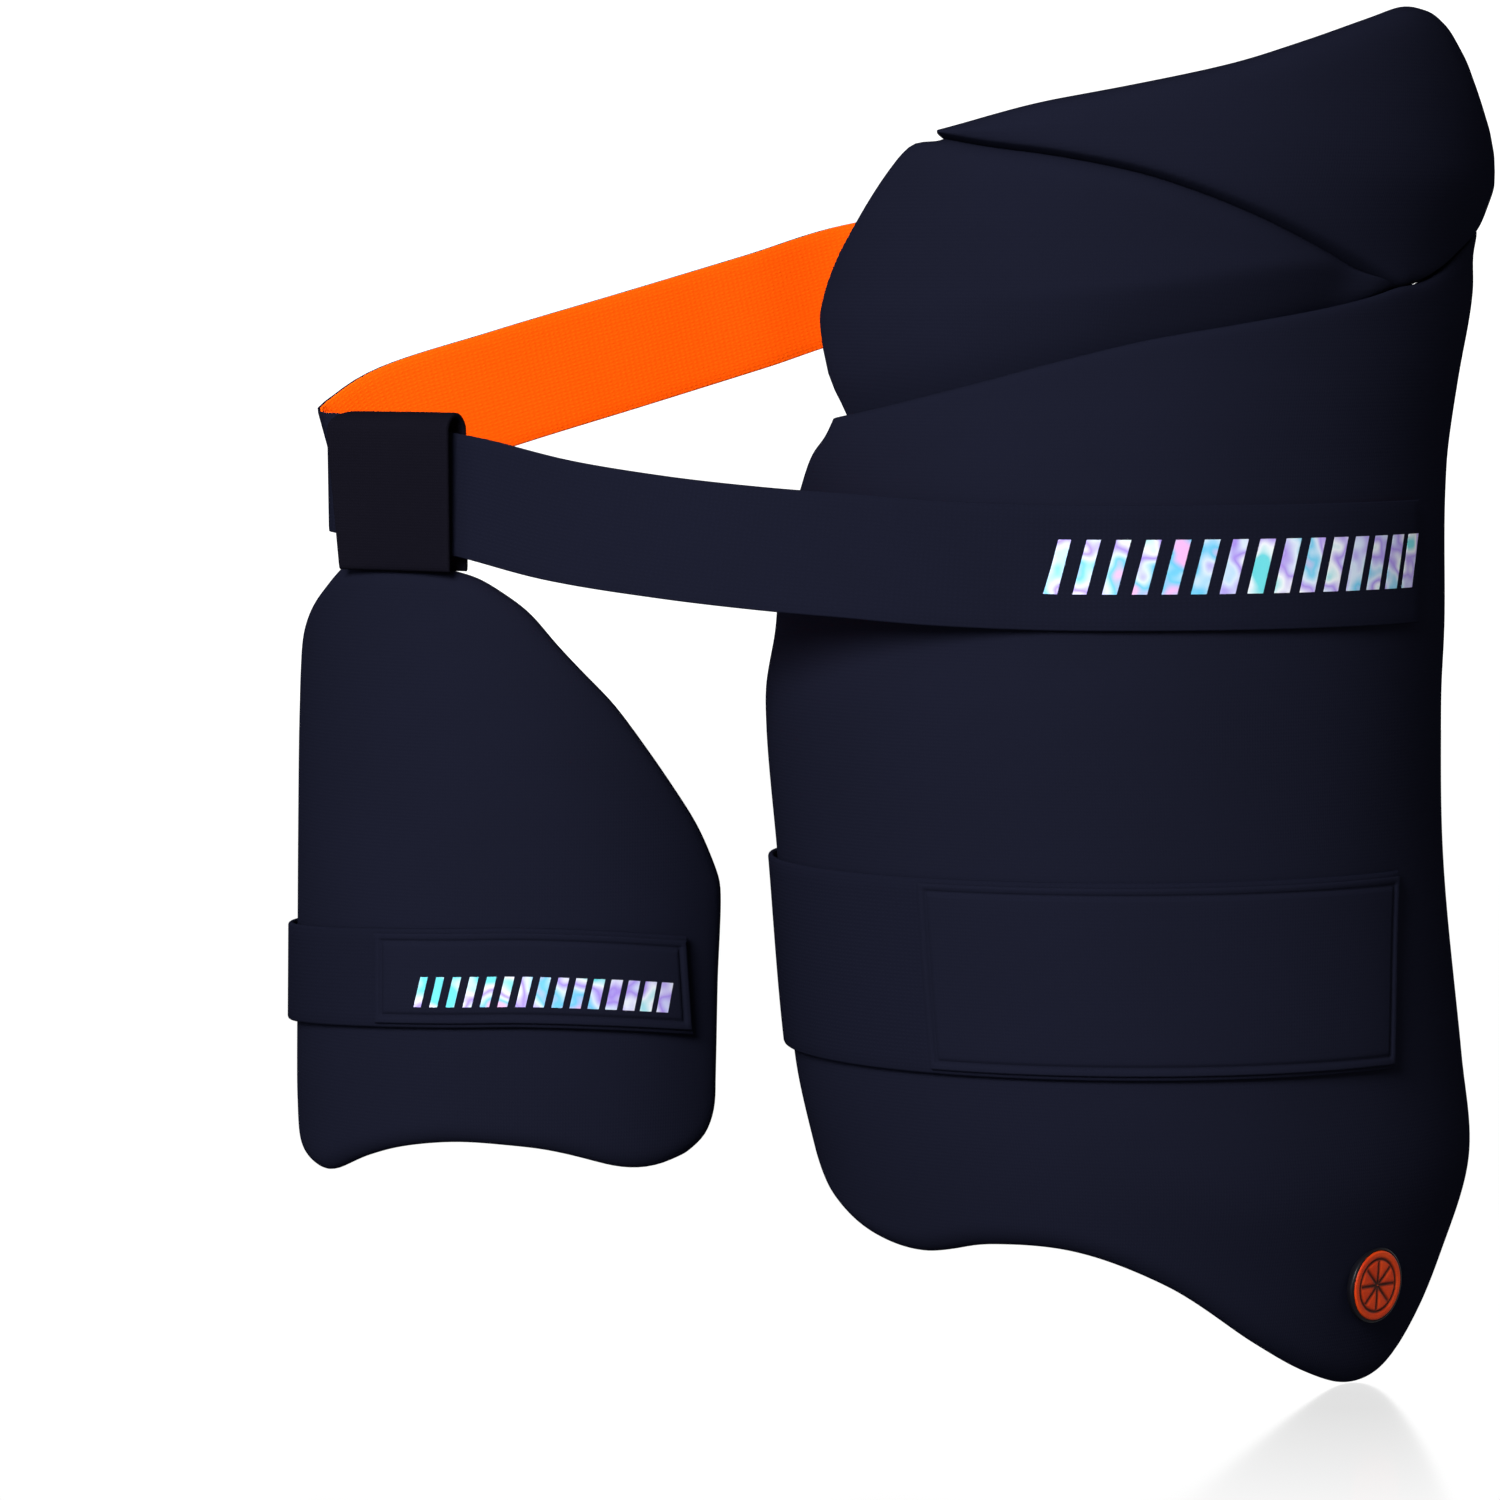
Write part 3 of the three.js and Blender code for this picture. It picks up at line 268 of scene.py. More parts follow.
def makePiece(name, points, faces, uv):
    # points in mm, uv in metres of cloth; points that fall together are joined, and faces that collapse go
    unique, first, index = np.unique(np.round(points, 4), axis=0, return_index=True, return_inverse=True)
    faces = index.reshape(-1)[faces]
    keep = faces != np.roll(faces, -1, axis=1)
    good = keep.sum(1) >= 3
    loops = faces[good][keep[good]]
    counts = keep[good].sum(1)
    mesh = bpy.data.meshes.new(name)
    mesh.vertices.add(len(unique))
    mesh.vertices.foreach_set("co", (unique * mm).astype(np.float32).ravel())
    mesh.loops.add(len(loops))
    mesh.loops.foreach_set("vertex_index", loops.astype(np.int32))
    mesh.polygons.add(len(counts))
    mesh.polygons.foreach_set("loop_start", np.concatenate([[0], np.cumsum(counts)[:-1]]).astype(np.int32))
    mesh.update(calc_edges=True)
    layer = mesh.uv_layers.new(name="clothUV")
    layer.uv.foreach_set("vector", uv[first][loops].astype(np.float32).ravel())
    mesh.shade_smooth()
    return addObject(name, mesh), first


def dress(piece, replaced, material):
    # rides on the part's one body, stands for its solid and takes the finish it is given
    piece.data.materials.append(material)
    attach(piece, "root")
    if replaced:
        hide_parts(replaced)
    return piece


def toLinear(hexColour, dim=1.0):
    # sRGB hex to linear light, times how much darker the cloth is than it looks in the bright studio
    parts = np.array([int(hexColour[k:k + 2], 16) for k in (1, 3, 5)]) / 255
    linear = np.where(parts <= 0.04045, parts / 12.92, ((parts + 0.055) / 1.055) ** 2.4)
    return (*(linear * dim), 1.0)


def addNode(tree, kind, settings=None, inputs=None):
    # one node, its settings, and for each input a value or a socket to link
    node = tree.nodes.new(kind)
    for key, value in (settings or {}).items():
        setattr(node, key, value)
    for key, value in (inputs or {}).items():
        if isinstance(value, bpy.types.NodeSocket):
            tree.links.new(value, node.inputs[key])
        else:
            node.inputs[key].default_value = value
    return node


def newMaterial(name):
    material = bpy.data.materials.new(name)
    material.use_nodes = True
    material.node_tree.nodes.clear()
    return material, material.node_tree


def clothMaterial(name, s):
    # colour drifts between two dyes over centimetres; the bump is two crossed sets of threads, and fuzz
    material, tree = newMaterial(name)
    place = addNode(tree, "ShaderNodeTexCoord")
    drift = addNode(tree, "ShaderNodeTexNoise", None,
                    {"Vector": place.outputs["Object"], "Scale": 1 / s["drift"], "Detail": 3.0})
    firstDye, secondDye = (toLinear(tone, s["dim"]) for tone in s["colours"])
    tone = addNode(tree, "ShaderNodeMix", {"data_type": "RGBA"},
                  {0: drift.outputs[0], 6: firstDye, 7: secondDye})
    waves = []
    for axis, pitch in zip("XY", s["pitch"]):
        waves.append(addNode(tree, "ShaderNodeTexWave",
                             {"wave_type": "BANDS", "bands_direction": axis, "wave_profile": "SIN"},
                             {"Vector": place.outputs["UV"], "Scale": math.pi / 10 / pitch,
                              "Distortion": s["uneven"], "Detail": 1.0, "Detail Scale": 0.4}))
    threads = addNode(tree, "ShaderNodeMath", {"operation": "MULTIPLY"},
                      {0: waves[0].outputs["Fac"], 1: waves[1].outputs["Fac"]})
    fuzz = addNode(tree, "ShaderNodeTexNoise", None,
                   {"Vector": place.outputs["Object"], "Scale": 1 / s["fuzz"], "Detail": 2.0})
    relief = addNode(tree, "ShaderNodeMath", {"operation": "ADD"},
                     {0: threads.outputs[0], 1: fuzz.outputs[0]})
    bump = addNode(tree, "ShaderNodeBump", None,
                   {"Height": relief.outputs[0], "Distance": s["relief"], "Strength": s["strength"]})
    shade = addNode(tree, "ShaderNodeMapRange", None,
                    {"Value": threads.outputs[0], "To Min": 1 - s["contrast"], "To Max": 1 + s["contrast"]})
    colour = addNode(tree, "ShaderNodeVectorMath", {"operation": "SCALE"},
                     {0: tone.outputs[2], "Scale": shade.outputs[0]})
    body = addNode(tree, "ShaderNodeBsdfPrincipled", None,
                   {"Base Color": colour.outputs[0], "Normal": bump.outputs[0], "Roughness": s["roughness"],
                    "IOR": s["ior"], "Specular IOR Level": s["specular"]})
    addNode(tree, "ShaderNodeOutputMaterial", None, {"Surface": body.outputs[0]})
    return material


def smoothMaterial(name, s):
    # a moulded or printed skin: colours that drift into each other, a fine grain in the surface, and where
    # asked, painted shade that darkens the grooves
    material, tree = newMaterial(name)
    place = addNode(tree, "ShaderNodeTexCoord")
    drift = addNode(tree, "ShaderNodeTexNoise", None,
                    {"Vector": place.outputs["Object"], "Scale": 1 / s["drift"], "Detail": 2.0})
    # for the foil these drifting colours are a painted rainbow sheen
    ramp = addNode(tree, "ShaderNodeValToRGB", None, {"Fac": drift.outputs[0]})
    stops = np.linspace(0.32, 0.68, len(s["colours"]))
    for k, (at, tone) in enumerate(zip(stops, s["colours"])):
        stop = ramp.color_ramp.elements[k] if k < 2 else ramp.color_ramp.elements.new(float(at))
        stop.position = float(at)
        stop.color = toLinear(tone, s["dim"])
    grain = addNode(tree, "ShaderNodeTexNoise", None,
                    {"Vector": place.outputs["Object"], "Scale": 1 / s["grain"], "Detail": 3.0})
    bump = addNode(tree, "ShaderNodeBump", None,
                   {"Height": grain.outputs[0], "Distance": s["relief"], "Strength": 0.4})
    colour = ramp.outputs[0]
    if s.get("grooves"):
        # painted shade in the grooves: the mesh's own groove attribute, 0 on the face and 1 at the bottom of
        # a groove, mixes in the darker colour
        depth = addNode(tree, "ShaderNodeAttribute", {"attribute_name": "groove"})
        paintedGrooveShade = toLinear(s["grooves"], s["dim"])
        colour = addNode(tree, "ShaderNodeMix", {"data_type": "RGBA"},
                         {0: depth.outputs["Fac"], 6: colour, 7: paintedGrooveShade}).outputs[2]
    body = addNode(tree, "ShaderNodeBsdfPrincipled", None,
                   {"Base Color": colour, "Normal": bump.outputs[0], "Roughness": s["roughness"],
                    "Metallic": s["metallic"], "IOR": s["ior"], "Specular IOR Level": s["specular"]})
    addNode(tree, "ShaderNodeOutputMaterial", None, {"Surface": body.outputs[0]})
    return material


dim = 0.42  # how much darker the navy cloths are than they look in this light
# knitted lycra over foam: matt, near black navy, its stitches finer than the eye picks out from 2 m
# (real stitches are 0.4 mm apart, drawn 0.9 mm)
knittedLycra = clothMaterial("knittedLycra", dict(
    colours=("#1c1e2d", "#1e2031"), dim=dim, drift=0.045, pitch=(0.0009, 0.0011), uneven=0.6, fuzz=0.0012,
    relief=0.00012, strength=0.3, contrast=0.05, roughness=0.82, ior=1.5, specular=0.0))
# elastic webbing: close ribs along its length 1.2 mm apart, a little smoother than the knit
elasticWebbing = clothMaterial("elasticWebbing", dict(
    colours=("#1b1d2c", "#1d1f30"), dim=dim, drift=0.06, pitch=(0.0016, 0.0012), uneven=0.3, fuzz=0.0015,
    relief=0.00014, strength=0.35, contrast=0.07, roughness=0.78, ior=1.5, specular=0.0))
# brushed loop nylon: bright orange pile that looks even, with faint streaks
brushedNylon = clothMaterial("brushedNylon", dict(
    colours=("#ff5304", "#ff5a09"), dim=0.93, drift=0.05, pitch=(0.002, 0.0012), uneven=1.5, fuzz=0.0011,
    relief=0.0002, strength=0.4, contrast=0.05, roughness=0.85, ior=1.5, specular=0.0))
# plain woven nylon: flat and a little browner than the knit, threads 0.9 mm apart
wovenNylon = clothMaterial("wovenNylon", dict(
    colours=("#16151f", "#191822"), dim=dim, drift=0.03, pitch=(0.0009, 0.0009), uneven=0.2, fuzz=0.0012,
    relief=0.00014, strength=0.45, contrast=0.14, roughness=0.8, ior=1.5, specular=0.0))
# moulded rubber: satin, with a soft highlight along its rim
mouldedRubber = smoothMaterial("mouldedRubber", dict(
    colours=("#08080c", "#0e0e14"), dim=0.8, drift=0.01, grain=0.0006, relief=0.00004, roughness=0.36,
    metallic=0.0, ior=1.52, specular=0.1))
# the same rubber coloured orange and duller, with painted shade darkening its grooves
orangeRubber = smoothMaterial("orangeRubber", dict(
    colours=("#c93404", "#dd4508"), grooves="#3a1208", dim=0.52, drift=0.008, grain=0.0006, relief=0.00004,
    roughness=0.5, metallic=0.0, ior=1.52, specular=0.12))
# transfer foil: a metal film whose rainbow sheen of pale blue, white, violet and green is painted into its
# colour in drifting patches
transferFoil = smoothMaterial("transferFoil", dict(
    colours=("#5fd8e6", "#eef6ff", "#a68af0", "#d9e9ff", "#63c8f2", "#f0b6ee"), dim=0.62, drift=0.016,
    grain=0.001, relief=0.00003, roughness=0.4, metallic=0.15, ior=1.5, specular=0.5))
print("materials ready")

# foam pads: crown, rounded edges, the gap and slant of the folds, and how far the cloth may swell
padSet = dict(crown=2.4, crownReach=34.0, edgeRound=6.5, foldGap=0.3, foldSlant=0.45, slantReach=14.0,
              tipReach=(4.0, 27.0), pressure=5.0, cap=1.1, frames=20, cell=4.6)


def foamPad(name, leg, edges, rounds, left, thickness, s, sinks=()):
    # a Coons patch on the leg's surface; half its thickness is the edge's quarter circle plus a crown;
    # beside a fold the points lie lower the deeper they are, so that the seam slants inwards;
    # sinks name the sides where the whole panel tucks in under its neighbour, with depth and reach; it
    # doesn't tuck in at its right end, where three panels meet
    sizes = {side: runOf(edges[side])[-1] for side in edges}
    width, height = (sizes["bottom"] + sizes["top"]) / 2, (sizes["left"] + sizes["right"]) / 2
    across = linesAcross(width, rounds["left"], rounds["right"], max(6, round(width / s["cell"])))
    up = linesAcross(height, rounds["bottom"], rounds["top"], max(6, round(height / s["cell"])))
    flat = coonsPatch(edges, across, up).reshape(-1, 2)
    away = {side: distanceTo(flat, edges[side]) for side in edges}
    fullness = np.ones(len(flat))
    for side, r in rounds.items():
        part = np.clip(away[side] / r, 0, 1)
        least = left.get(side, 0)
        fullness = np.minimum(fullness, least + (1 - least) * np.sqrt(1 - (1 - part) ** 2))
    nearest = np.min(list(away.values()), axis=0)
    swell = smoothStep(nearest, 0, s["crownReach"])
    half = ((thickness - s["crown"]) * fullness + s["crown"] * swell) / 2
    folds = [1 - smoothStep(away[side], 0, s["slantReach"]) for side in left]
    fold = np.max(folds or [np.zeros(len(flat))], axis=0)
    sunk = sum(depth * (1 - smoothStep(away[side], 0, reach)) for side, depth, reach in sinks)
    sunk = sunk * smoothStep(away["right"], *s["tipReach"])
    turn = np.degrees(flat[:, 0] / leg["face"])
    faces = []
    for sign in (1, -1):
        outside = sign * half - thickness / 2 - sunk
        point = legPoint(leg, turn, flat[:, 1], outside)
        point[:, 2] += s["foldSlant"] * outside * fold
        faces.append(point)
    uv = np.tile(flat * mm, (2, 1))
    piece, first = makePiece(name, np.concatenate(faces), shellFaces(len(across), len(up)), uv)
    return piece, np.tile(nearest, 2)[first]


def puffPad(pad, nearest, s):
    # cloth blown up from inside with its seams held; each point's move is then eased to under the cap
    group = pad.vertex_groups.new(name="seams")
    for weight, low, high in ((1.0, -1, 2.5), (0.5, 2.5, 6.0)):
        chosen = np.nonzero((nearest > low) & (nearest <= high))[0]
        group.add(chosen.tolist(), weight, "REPLACE")
    rest = np.zeros(len(pad.data.vertices) * 3, np.float32)
    pad.data.vertices.foreach_get("co", rest)
    cloth = pad.modifiers.new("puff", "CLOTH")
    fabric = dict(quality=5, mass=0.3, tension_stiffness=25, compression_stiffness=25, shear_stiffness=10,
                  bending_stiffness=4, use_pressure=True, uniform_pressure_force=s["pressure"],
                  vertex_group_mass="seams")
    for key, value in fabric.items():
        setattr(cloth.settings, key, value)
    cloth.settings.effector_weights.gravity = 0
    cloth.collision_settings.use_collision = False
    cloth.point_cache.frame_start, cloth.point_cache.frame_end = 1, s["frames"]
    scene = bpy.context.scene
    for step in range(1, s["frames"] + 1):
        scene.frame_set(step)
    blown = np.zeros_like(rest)
    pad.evaluated_get(bpy.context.evaluated_depsgraph_get()).data.vertices.foreach_get("co", blown)
    pad.modifiers.remove(cloth)
    scene.frame_set(1)
    move = (blown - rest).reshape(-1, 3)
    length = np.linalg.norm(move, axis=1, keepdims=True)
    cap = s["cap"] * mm
    move *= cap / (cap + length)
    pad.data.vertices.foreach_set("co", (rest.reshape(-1, 3) + move).astype(np.float32).ravel())
    pad.data.update()
    print(pad.name, "puffed, largest move", round(float(length.max()) * 1000, 2), "mm before the cap")


def subdivide(piece, levels=1):
    smooth = piece.modifiers.new("smooth", "SUBSURF")
    smooth.levels = smooth.render_levels = levels
    smooth.use_limit_surface = False


def splitFold(rows, turn):
    # a fold's rows up to a turn and from it on, each with the point at that turn
    table = np.asarray(rows, float)
    meeting = (turn, float(columnAt(table, 1, turn)))
    apart = 0.02  # rows nearer to the new point than this are left out
    before = [r for r in rows if r[0] < turn - apart]
    after = [r for r in rows if r[0] > turn + apart]
    return before + [meeting], [meeting] + after


def finishPad(made, replaced):
    # puffed, smoothed and dressed
    pad, nearest = made
    puffPad(pad, nearest, padSet)
    subdivide(pad)
    dress(pad, replaced, knittedLycra)


gapHalf = padSet["foldGap"] / 2
edge = padSet["edgeRound"]
finishPad(foamPad("thighFoamPad", large, edgeLines(
    large, -gapHalf, left=thighCrotchEdge, right=thighHipEdge, bottom=thighFoot, top=lowerFold),
    dict(left=edge, right=edge, bottom=edge, top=4.0), dict(top=0.6), largeFoam, padSet), "thigh_panel")
underEdge = splitFold(lowerFold, foldMeeting - 0.003)[0]
overEdge = splitFold(upperFold, foldMeeting - 0.004)[0]
finishPad(foamPad("waistFoamPad", large, edgeLines(
    large, gapHalf, left=[underEdge[0], *waistCrotchEdge[1:]], right=[underEdge[-1], overEdge[-1]],
    bottom=underEdge, top=overEdge),
    dict(left=edge, right=3.5, bottom=16.0, top=5.0), dict(right=0.4, bottom=0.1, top=0.4), waistFoam,
    padSet, [("bottom", 5.5, 16.0), ("top", 2.2, 9.0)]), "waist_panel")
# the flap's lowest corner is drawn 1 mm lower than the fold, onto the thigh pad
flapCorner = (foldMeeting + 0.01, 0.388)
alongHip = [r for r in splitFold(lowerFold, foldMeeting + 0.03)[1] if r[0] < 0.87]
hipFoot = [*upperFold[:-1], flapCorner, *alongHip, hipBackEdge[0]]
finishPad(foamPad("hipFoamFlap", large, edgeLines(
    large, 3 * gapHalf, left=[hipFoot[0], hipTop[0]], right=hipBackEdge, bottom=hipFoot, top=hipTop),
    dict(left=3.5, right=edge, bottom=3.0, top=edge), dict(bottom=0.72), largeFoam, padSet), "hip_flap")
print("large guard's pads made")


# a strip of webbing: stations along it, each a row of points up its width with one outward direction
def stripLines(length, edge, cell):
    # shares from 0 to 1: close together where the edges are rounded, even between
    shares = np.array([0, 0.1, 0.4, 1.0]) * edge / length
    middle = max(2, round(length / cell))
    between = np.linspace(shares[-1], 1 - shares[-1], middle + 1)[1:-1]
    return np.concatenate([shares, between, 1 - shares[::-1]])


def stripPoint(strip, along, share, lift):
    # point at mm along and a share of the width, lifted outwards: straight between the stations
    run, points, outward = strip["run"], strip["points"], strip["outward"]
    at = np.interp(along, run, np.arange(len(run)))
    i = np.clip(at.astype(int), 0, len(run) - 2)
    t = (at - i)[..., None]
    row = share * (points.shape[1] - 1)
    j = np.clip(row.astype(int), 0, points.shape[1] - 2)
    w = (row - j)[..., None]
    near = points[i, j] * (1 - w) + points[i, j + 1] * w
    far = points[i + 1, j] * (1 - w) + points[i + 1, j + 1] * w
    out = unit(outward[i] * (1 - t) + outward[i + 1] * t)
    return near * (1 - t) + far * t + out * lift[..., None]


def webbing(name, strip, low, high, width, s, start=0.0, end=None):
    # half thickness falls to nothing round the edges in a quarter circle; a sewn border is pressed in;
    # inset is the share of the strip's width left free at each edge, one number or a function of the run
    end = strip["run"][-1] if end is None else end
    along = start + (end - start) * stripLines(end - start, s["edge"], s["cell"])
    share = stripLines(width, s["edge"], s["cell"])
    if s.get("border"):
        press = s["border"] + s["seam"] * np.array([-1.6, -0.8, 0, 0.8, 1.6])
        along = np.unique(np.concatenate([along, start + press, end - press]))
        share = np.unique(np.concatenate([share, press / width, 1 - press / width]))
    a, b = (g.ravel() for g in np.meshgrid(along, share, indexing="ij"))
    away = np.minimum.reduce([a - start, end - a, b * width, (1 - b) * width])
    part = np.clip(away / s["edge"], 0, 1)
    half = (high - low) / 2 * np.sqrt(1 - (1 - part) ** 2)
    groove = s["press"] * np.exp(-((away - s["border"]) / s["seam"]) ** 2) if s.get("border") else 0
    inset = s.get("inset", 0)
    lower = inset(a) if callable(inset) else inset
    rows = lower + (1 - lower - lower) * b
    middle = (high + low) / 2
    points = np.concatenate([stripPoint(strip, a, rows, middle + half - groove),
                             stripPoint(strip, a, rows, middle - half)])
    uv = np.tile(np.stack([a, b * width], -1) * mm, (2, 1))
    return makePiece(name, points, shellFaces(len(along), len(share))[:, ::-1], uv)[0]


def beltStrip(s):
    # on the guard its width follows the face; elsewhere it stands square to its path and leans a little
    rise = np.linspace(-0.5, 0.5, 7)
    frontCount, tailCount, perSpan = 46, 11, 24  # stations on the guard, the tail and per span of the path
    stack = seatGap + s["layer"] + s["gap"] / 2
    inside = -largeFoam - stack
    frontStep = (s["endTurn"] + s["contactTurn"]) / 15
    frontTurn = np.linspace(s["endTurn"], -s["contactTurn"], frontCount)
    tailTurn = s["tailLength"] / (math.radians(1) * large["face"])
    tailLine = large["right"] - np.linspace(0, tailTurn, tailCount)
    tailRise = s["tailRise"] * s["rise"]
    contact = legPoint(large, -s["contactTurn"], -s["drop"], stack)
    hip = legPoint(large, large["right"], tailRise, inside)
    bend = np.array([-s["reach"], s["bendDepth"] * s["depth"], s["bendRise"] * s["rise"]])
    arm = np.array(beltFrontArm)[::-1]
    back = np.array(beltBackArm)
    backPlaces = np.stack([-s["reach"] + (hip[0] + s["reach"]) * back[:, 0], back[:, 1] * s["depth"],
                           back[:, 2] * s["rise"]], -1)
    places = np.vstack([
        legPoint(large, -s["contactTurn"] + frontStep, -s["drop"], stack), contact,
        bend + (contact - bend) * arm[:, :3], backPlaces, hip,
        legPoint(large, large["right"] - tailTurn / 5, tailRise, inside)])
    leans = np.concatenate([[0, 0], arm[:, 3], np.zeros(len(back) + 2)])
    line = splinePoints(places, perSpan)
    lean = np.interp(np.arange(len(line)) / perSpan, np.arange(len(leans)), leans)
    free = np.column_stack([line, lean])[perSpan:-perSpan]
    free = evenly(free, np.linspace(0, 1, round(runOf(free)[-1] / s["spacing"])))[1:-1]
    frontMiddle = legPoint(large, frontTurn, -s["drop"], stack)
    tailMiddle = legPoint(large, tailLine, tailRise, inside)
    middle = np.vstack([frontMiddle, free[:, :3], tailMiddle])
    heading = unit(np.gradient(middle, axis=0))
    upright = unit(np.array([0, 0, 1.0]) - heading * heading[:, 2:3])
    tilt = np.radians(np.concatenate([np.zeros(frontCount), free[:, 3], np.zeros(tailCount)]))[:, None]
    upright = upright * np.cos(tilt) + np.cross(heading, upright) * np.sin(tilt)
    outward = unit(np.cross(upright, heading))
    points = middle[:, None] + upright[:, None] * (rise * s["width"])[None, :, None]
    points[:frontCount] = legPoint(large, frontTurn[:, None], -s["drop"] + rise[None] * s["width"], stack)
    points[-tailCount:] = legPoint(large, tailLine[:, None], tailRise + rise[None] * s["width"], inside)
    # eased over a few stations where it leaves the guard and where it meets it again
    run = runOf(middle)
    eased = points.copy()
    for _ in range(12):
        eased[1:-1] = (eased[:-2] + 2 * eased[1:-1] + eased[2:]) / 4
    for joint in (run[frontCount - 1], run[-tailCount]):
        weight = (1 - smoothStep(np.abs(run - joint), 4, 16))[:, None, None]
        points = points * (1 - weight) + eased * weight
    return dict(run=run, points=points, outward=outward, middle=middle, leaves=frontCount - 1)


beltPath = beltStrip(belt)
webbingSet = dict(edge=0.5, cell=4.0)
halfGap = belt["gap"] / 2
beltFace = halfGap + belt["layer"]
beltPiece = webbing("waistBeltWebbing", beltPath, halfGap, beltFace, belt["width"], webbingSet)
dress(beltPiece, "waist_belt", elasticWebbing)
beltBendRun = beltPath["run"][int(np.argmin(beltPath["middle"][:, 0]))]
liningSet = dict(short=0.014, ease=12.0)


def liningInset(run):
    # the lining stops short of the webbing's edges on the front arm, and is as wide as it past the bend
    return liningSet["short"] * (1 - smoothStep(run, beltBendRun - liningSet["ease"], beltBendRun))


liningPiece = webbing("beltLiningNylon", beltPath, -beltFace, -halfGap, belt["width"],
                      {**webbingSet, "inset": liningInset})
dress(liningPiece, "belt_lining", brushedNylon)
print("belt made,", round(beltPath["run"][-1]), "mm long")

# the loop on the belt's front arm, about 2 mm lower at its top than the solid, and the small guard below it
loopSet = dict(topWidth=49.0, footWidth=44.0, footShift=3.0, backSetIn=14.0, backReach=-1.5, rise=48.2,
               wall=1.8, slack=3.3, neckLift=-2.2, footDrop=0.8, edge=0.7, bendShare=0.45, gripShare=0.42,
               hem=5.0, hemPress=0.28, hemWidth=0.7)


def beltPlaceAcross(x):
    # place on the belt's free front arm at an x, straight between the stations
    arm = beltPath["middle"][beltPath["leaves"]:]
    i = int(np.argmax(arm[:, 0] < x))
    t = (x - arm[i, 0]) / (arm[i - 1, 0] - arm[i, 0])
    return arm[i] + (arm[i - 1] - arm[i]) * t


loopMiddle = -belt["reach"] + loopSet["topWidth"] * loopSet["bendShare"]
mouthReach = loopSet["footWidth"] * loopSet["gripShare"]
mouths = [beltPlaceAcross(loopMiddle + side * mouthReach) for side in (-1, 1)]
loopAlong = unit((mouths[1] - mouths[0]) * np.array([1, 1, 0]))
loopPlace = (beltPlaceAcross(loopMiddle) + (mouths[0] + mouths[1]) / 2) / 2
loopOut = np.array([loopAlong[1], -loopAlong[0], 0])
loopInnerHalf = belt["layer"] + halfGap + loopSet["slack"]
neckTop = (loopPlace[2] + belt["width"] / 2 + loopSet["slack"] + loopSet["wall"] - loopSet["rise"]
           + loopSet["neckLift"])
neckAngle = math.radians(small["neckTurn"])
neckRadius = small["face"] - small["thickness"] / 2
small["axisX"] = loopPlace[0] + neckRadius * math.sin(neckAngle)
small["axisY"] = loopPlace[1] + neckRadius * math.cos(neckAngle)
small["top"], small["rise"] = neckTop, small["drop"]


def beltLoop(s):
    # a band from the neck up in front of the belt, over it in a half circle, and down behind it
    top, foot = neckTop + s["rise"], neckTop - s["footDrop"]
    bendRadius = loopInnerHalf + s["wall"] / 2
    count = 14  # rows on each side, and one more round the bend
    straight = np.linspace(0, 1, count)
    angle = np.linspace(0, math.pi, count + 1)[1:-1]
    out = np.concatenate([np.full(count, bendRadius), bendRadius * np.cos(angle),
                          np.full(count, -bendRadius)])
    bendLevel = top - bendRadius
    z = np.concatenate([foot + (bendLevel - foot) * straight, bendLevel + bendRadius * np.sin(angle),
                        foot + (bendLevel - foot) * straight[::-1]])
    outwards = np.concatenate([np.ones(count), np.cos(angle), -np.ones(count)])
    upwards = np.concatenate([np.zeros(count), np.sin(angle), np.zeros(count)])
    share = stripLines(s["topWidth"], s["edge"], 3.5)
    path = np.concatenate([[0], np.cumsum(np.hypot(np.diff(out), np.diff(z)))])
    widthShare = (z - foot) / (top - foot)
    width = s["footWidth"] + (s["topWidth"] - s["footWidth"]) * widthShare
    shift = s["footShift"] * (1 - widthShare)
    backShare = (1 - outwards) / 2
    near = shift - width / 2 + s["backSetIn"] * backShare
    far = shift + width / 2 + s["backReach"] * backShare
    side = far[:, None] + (near - far)[:, None] * share[None]
    away = np.minimum(share, 1 - share) * s["topWidth"]
    part = np.clip(away / s["edge"], 0, 1)
    half = s["wall"] / 2 * np.sqrt(1 - (1 - part) ** 2)
    # a turned hem is pressed in a little way from each open end
    half = half - s["hemPress"] * np.exp(-((away - s["hem"]) / s["hemWidth"]) ** 2)
    layers = []
    for sign in (1, -1):
        lift = sign * half
        flat = out[:, None] + outwards[:, None] * lift[None]
        level = z[:, None] + upwards[:, None] * lift[None]
        place = loopPlace * np.array([1, 1, 0]) + side[..., None] * loopAlong + flat[..., None] * loopOut
        layers.append(place + level[..., None] * np.array([0, 0, 1.0]))
    points = np.concatenate([layer.reshape(-1, 3) for layer in layers])
    uv = np.stack(np.broadcast_arrays(path[:, None], side), -1).reshape(-1, 2) * mm
    return makePiece("beltLoopSleeve", points, shellFaces(len(z), len(share)), np.tile(uv, (2, 1)))[0]


loopPiece = beltLoop(loopSet)
subdivide(loopPiece)
dress(loopPiece, "belt_loop", wovenNylon)

finishPad(foamPad("innerFoamPad", small, edgeLines(
    small, 0, left=smallOuterEdge, right=smallInnerEdge, bottom=smallFoot, top=smallNeck),
    dict(left=edge, right=edge, bottom=edge, top=5.2), {}, small["thickness"], padSet), "inner_pad")
print("small guard's pad and loop made")


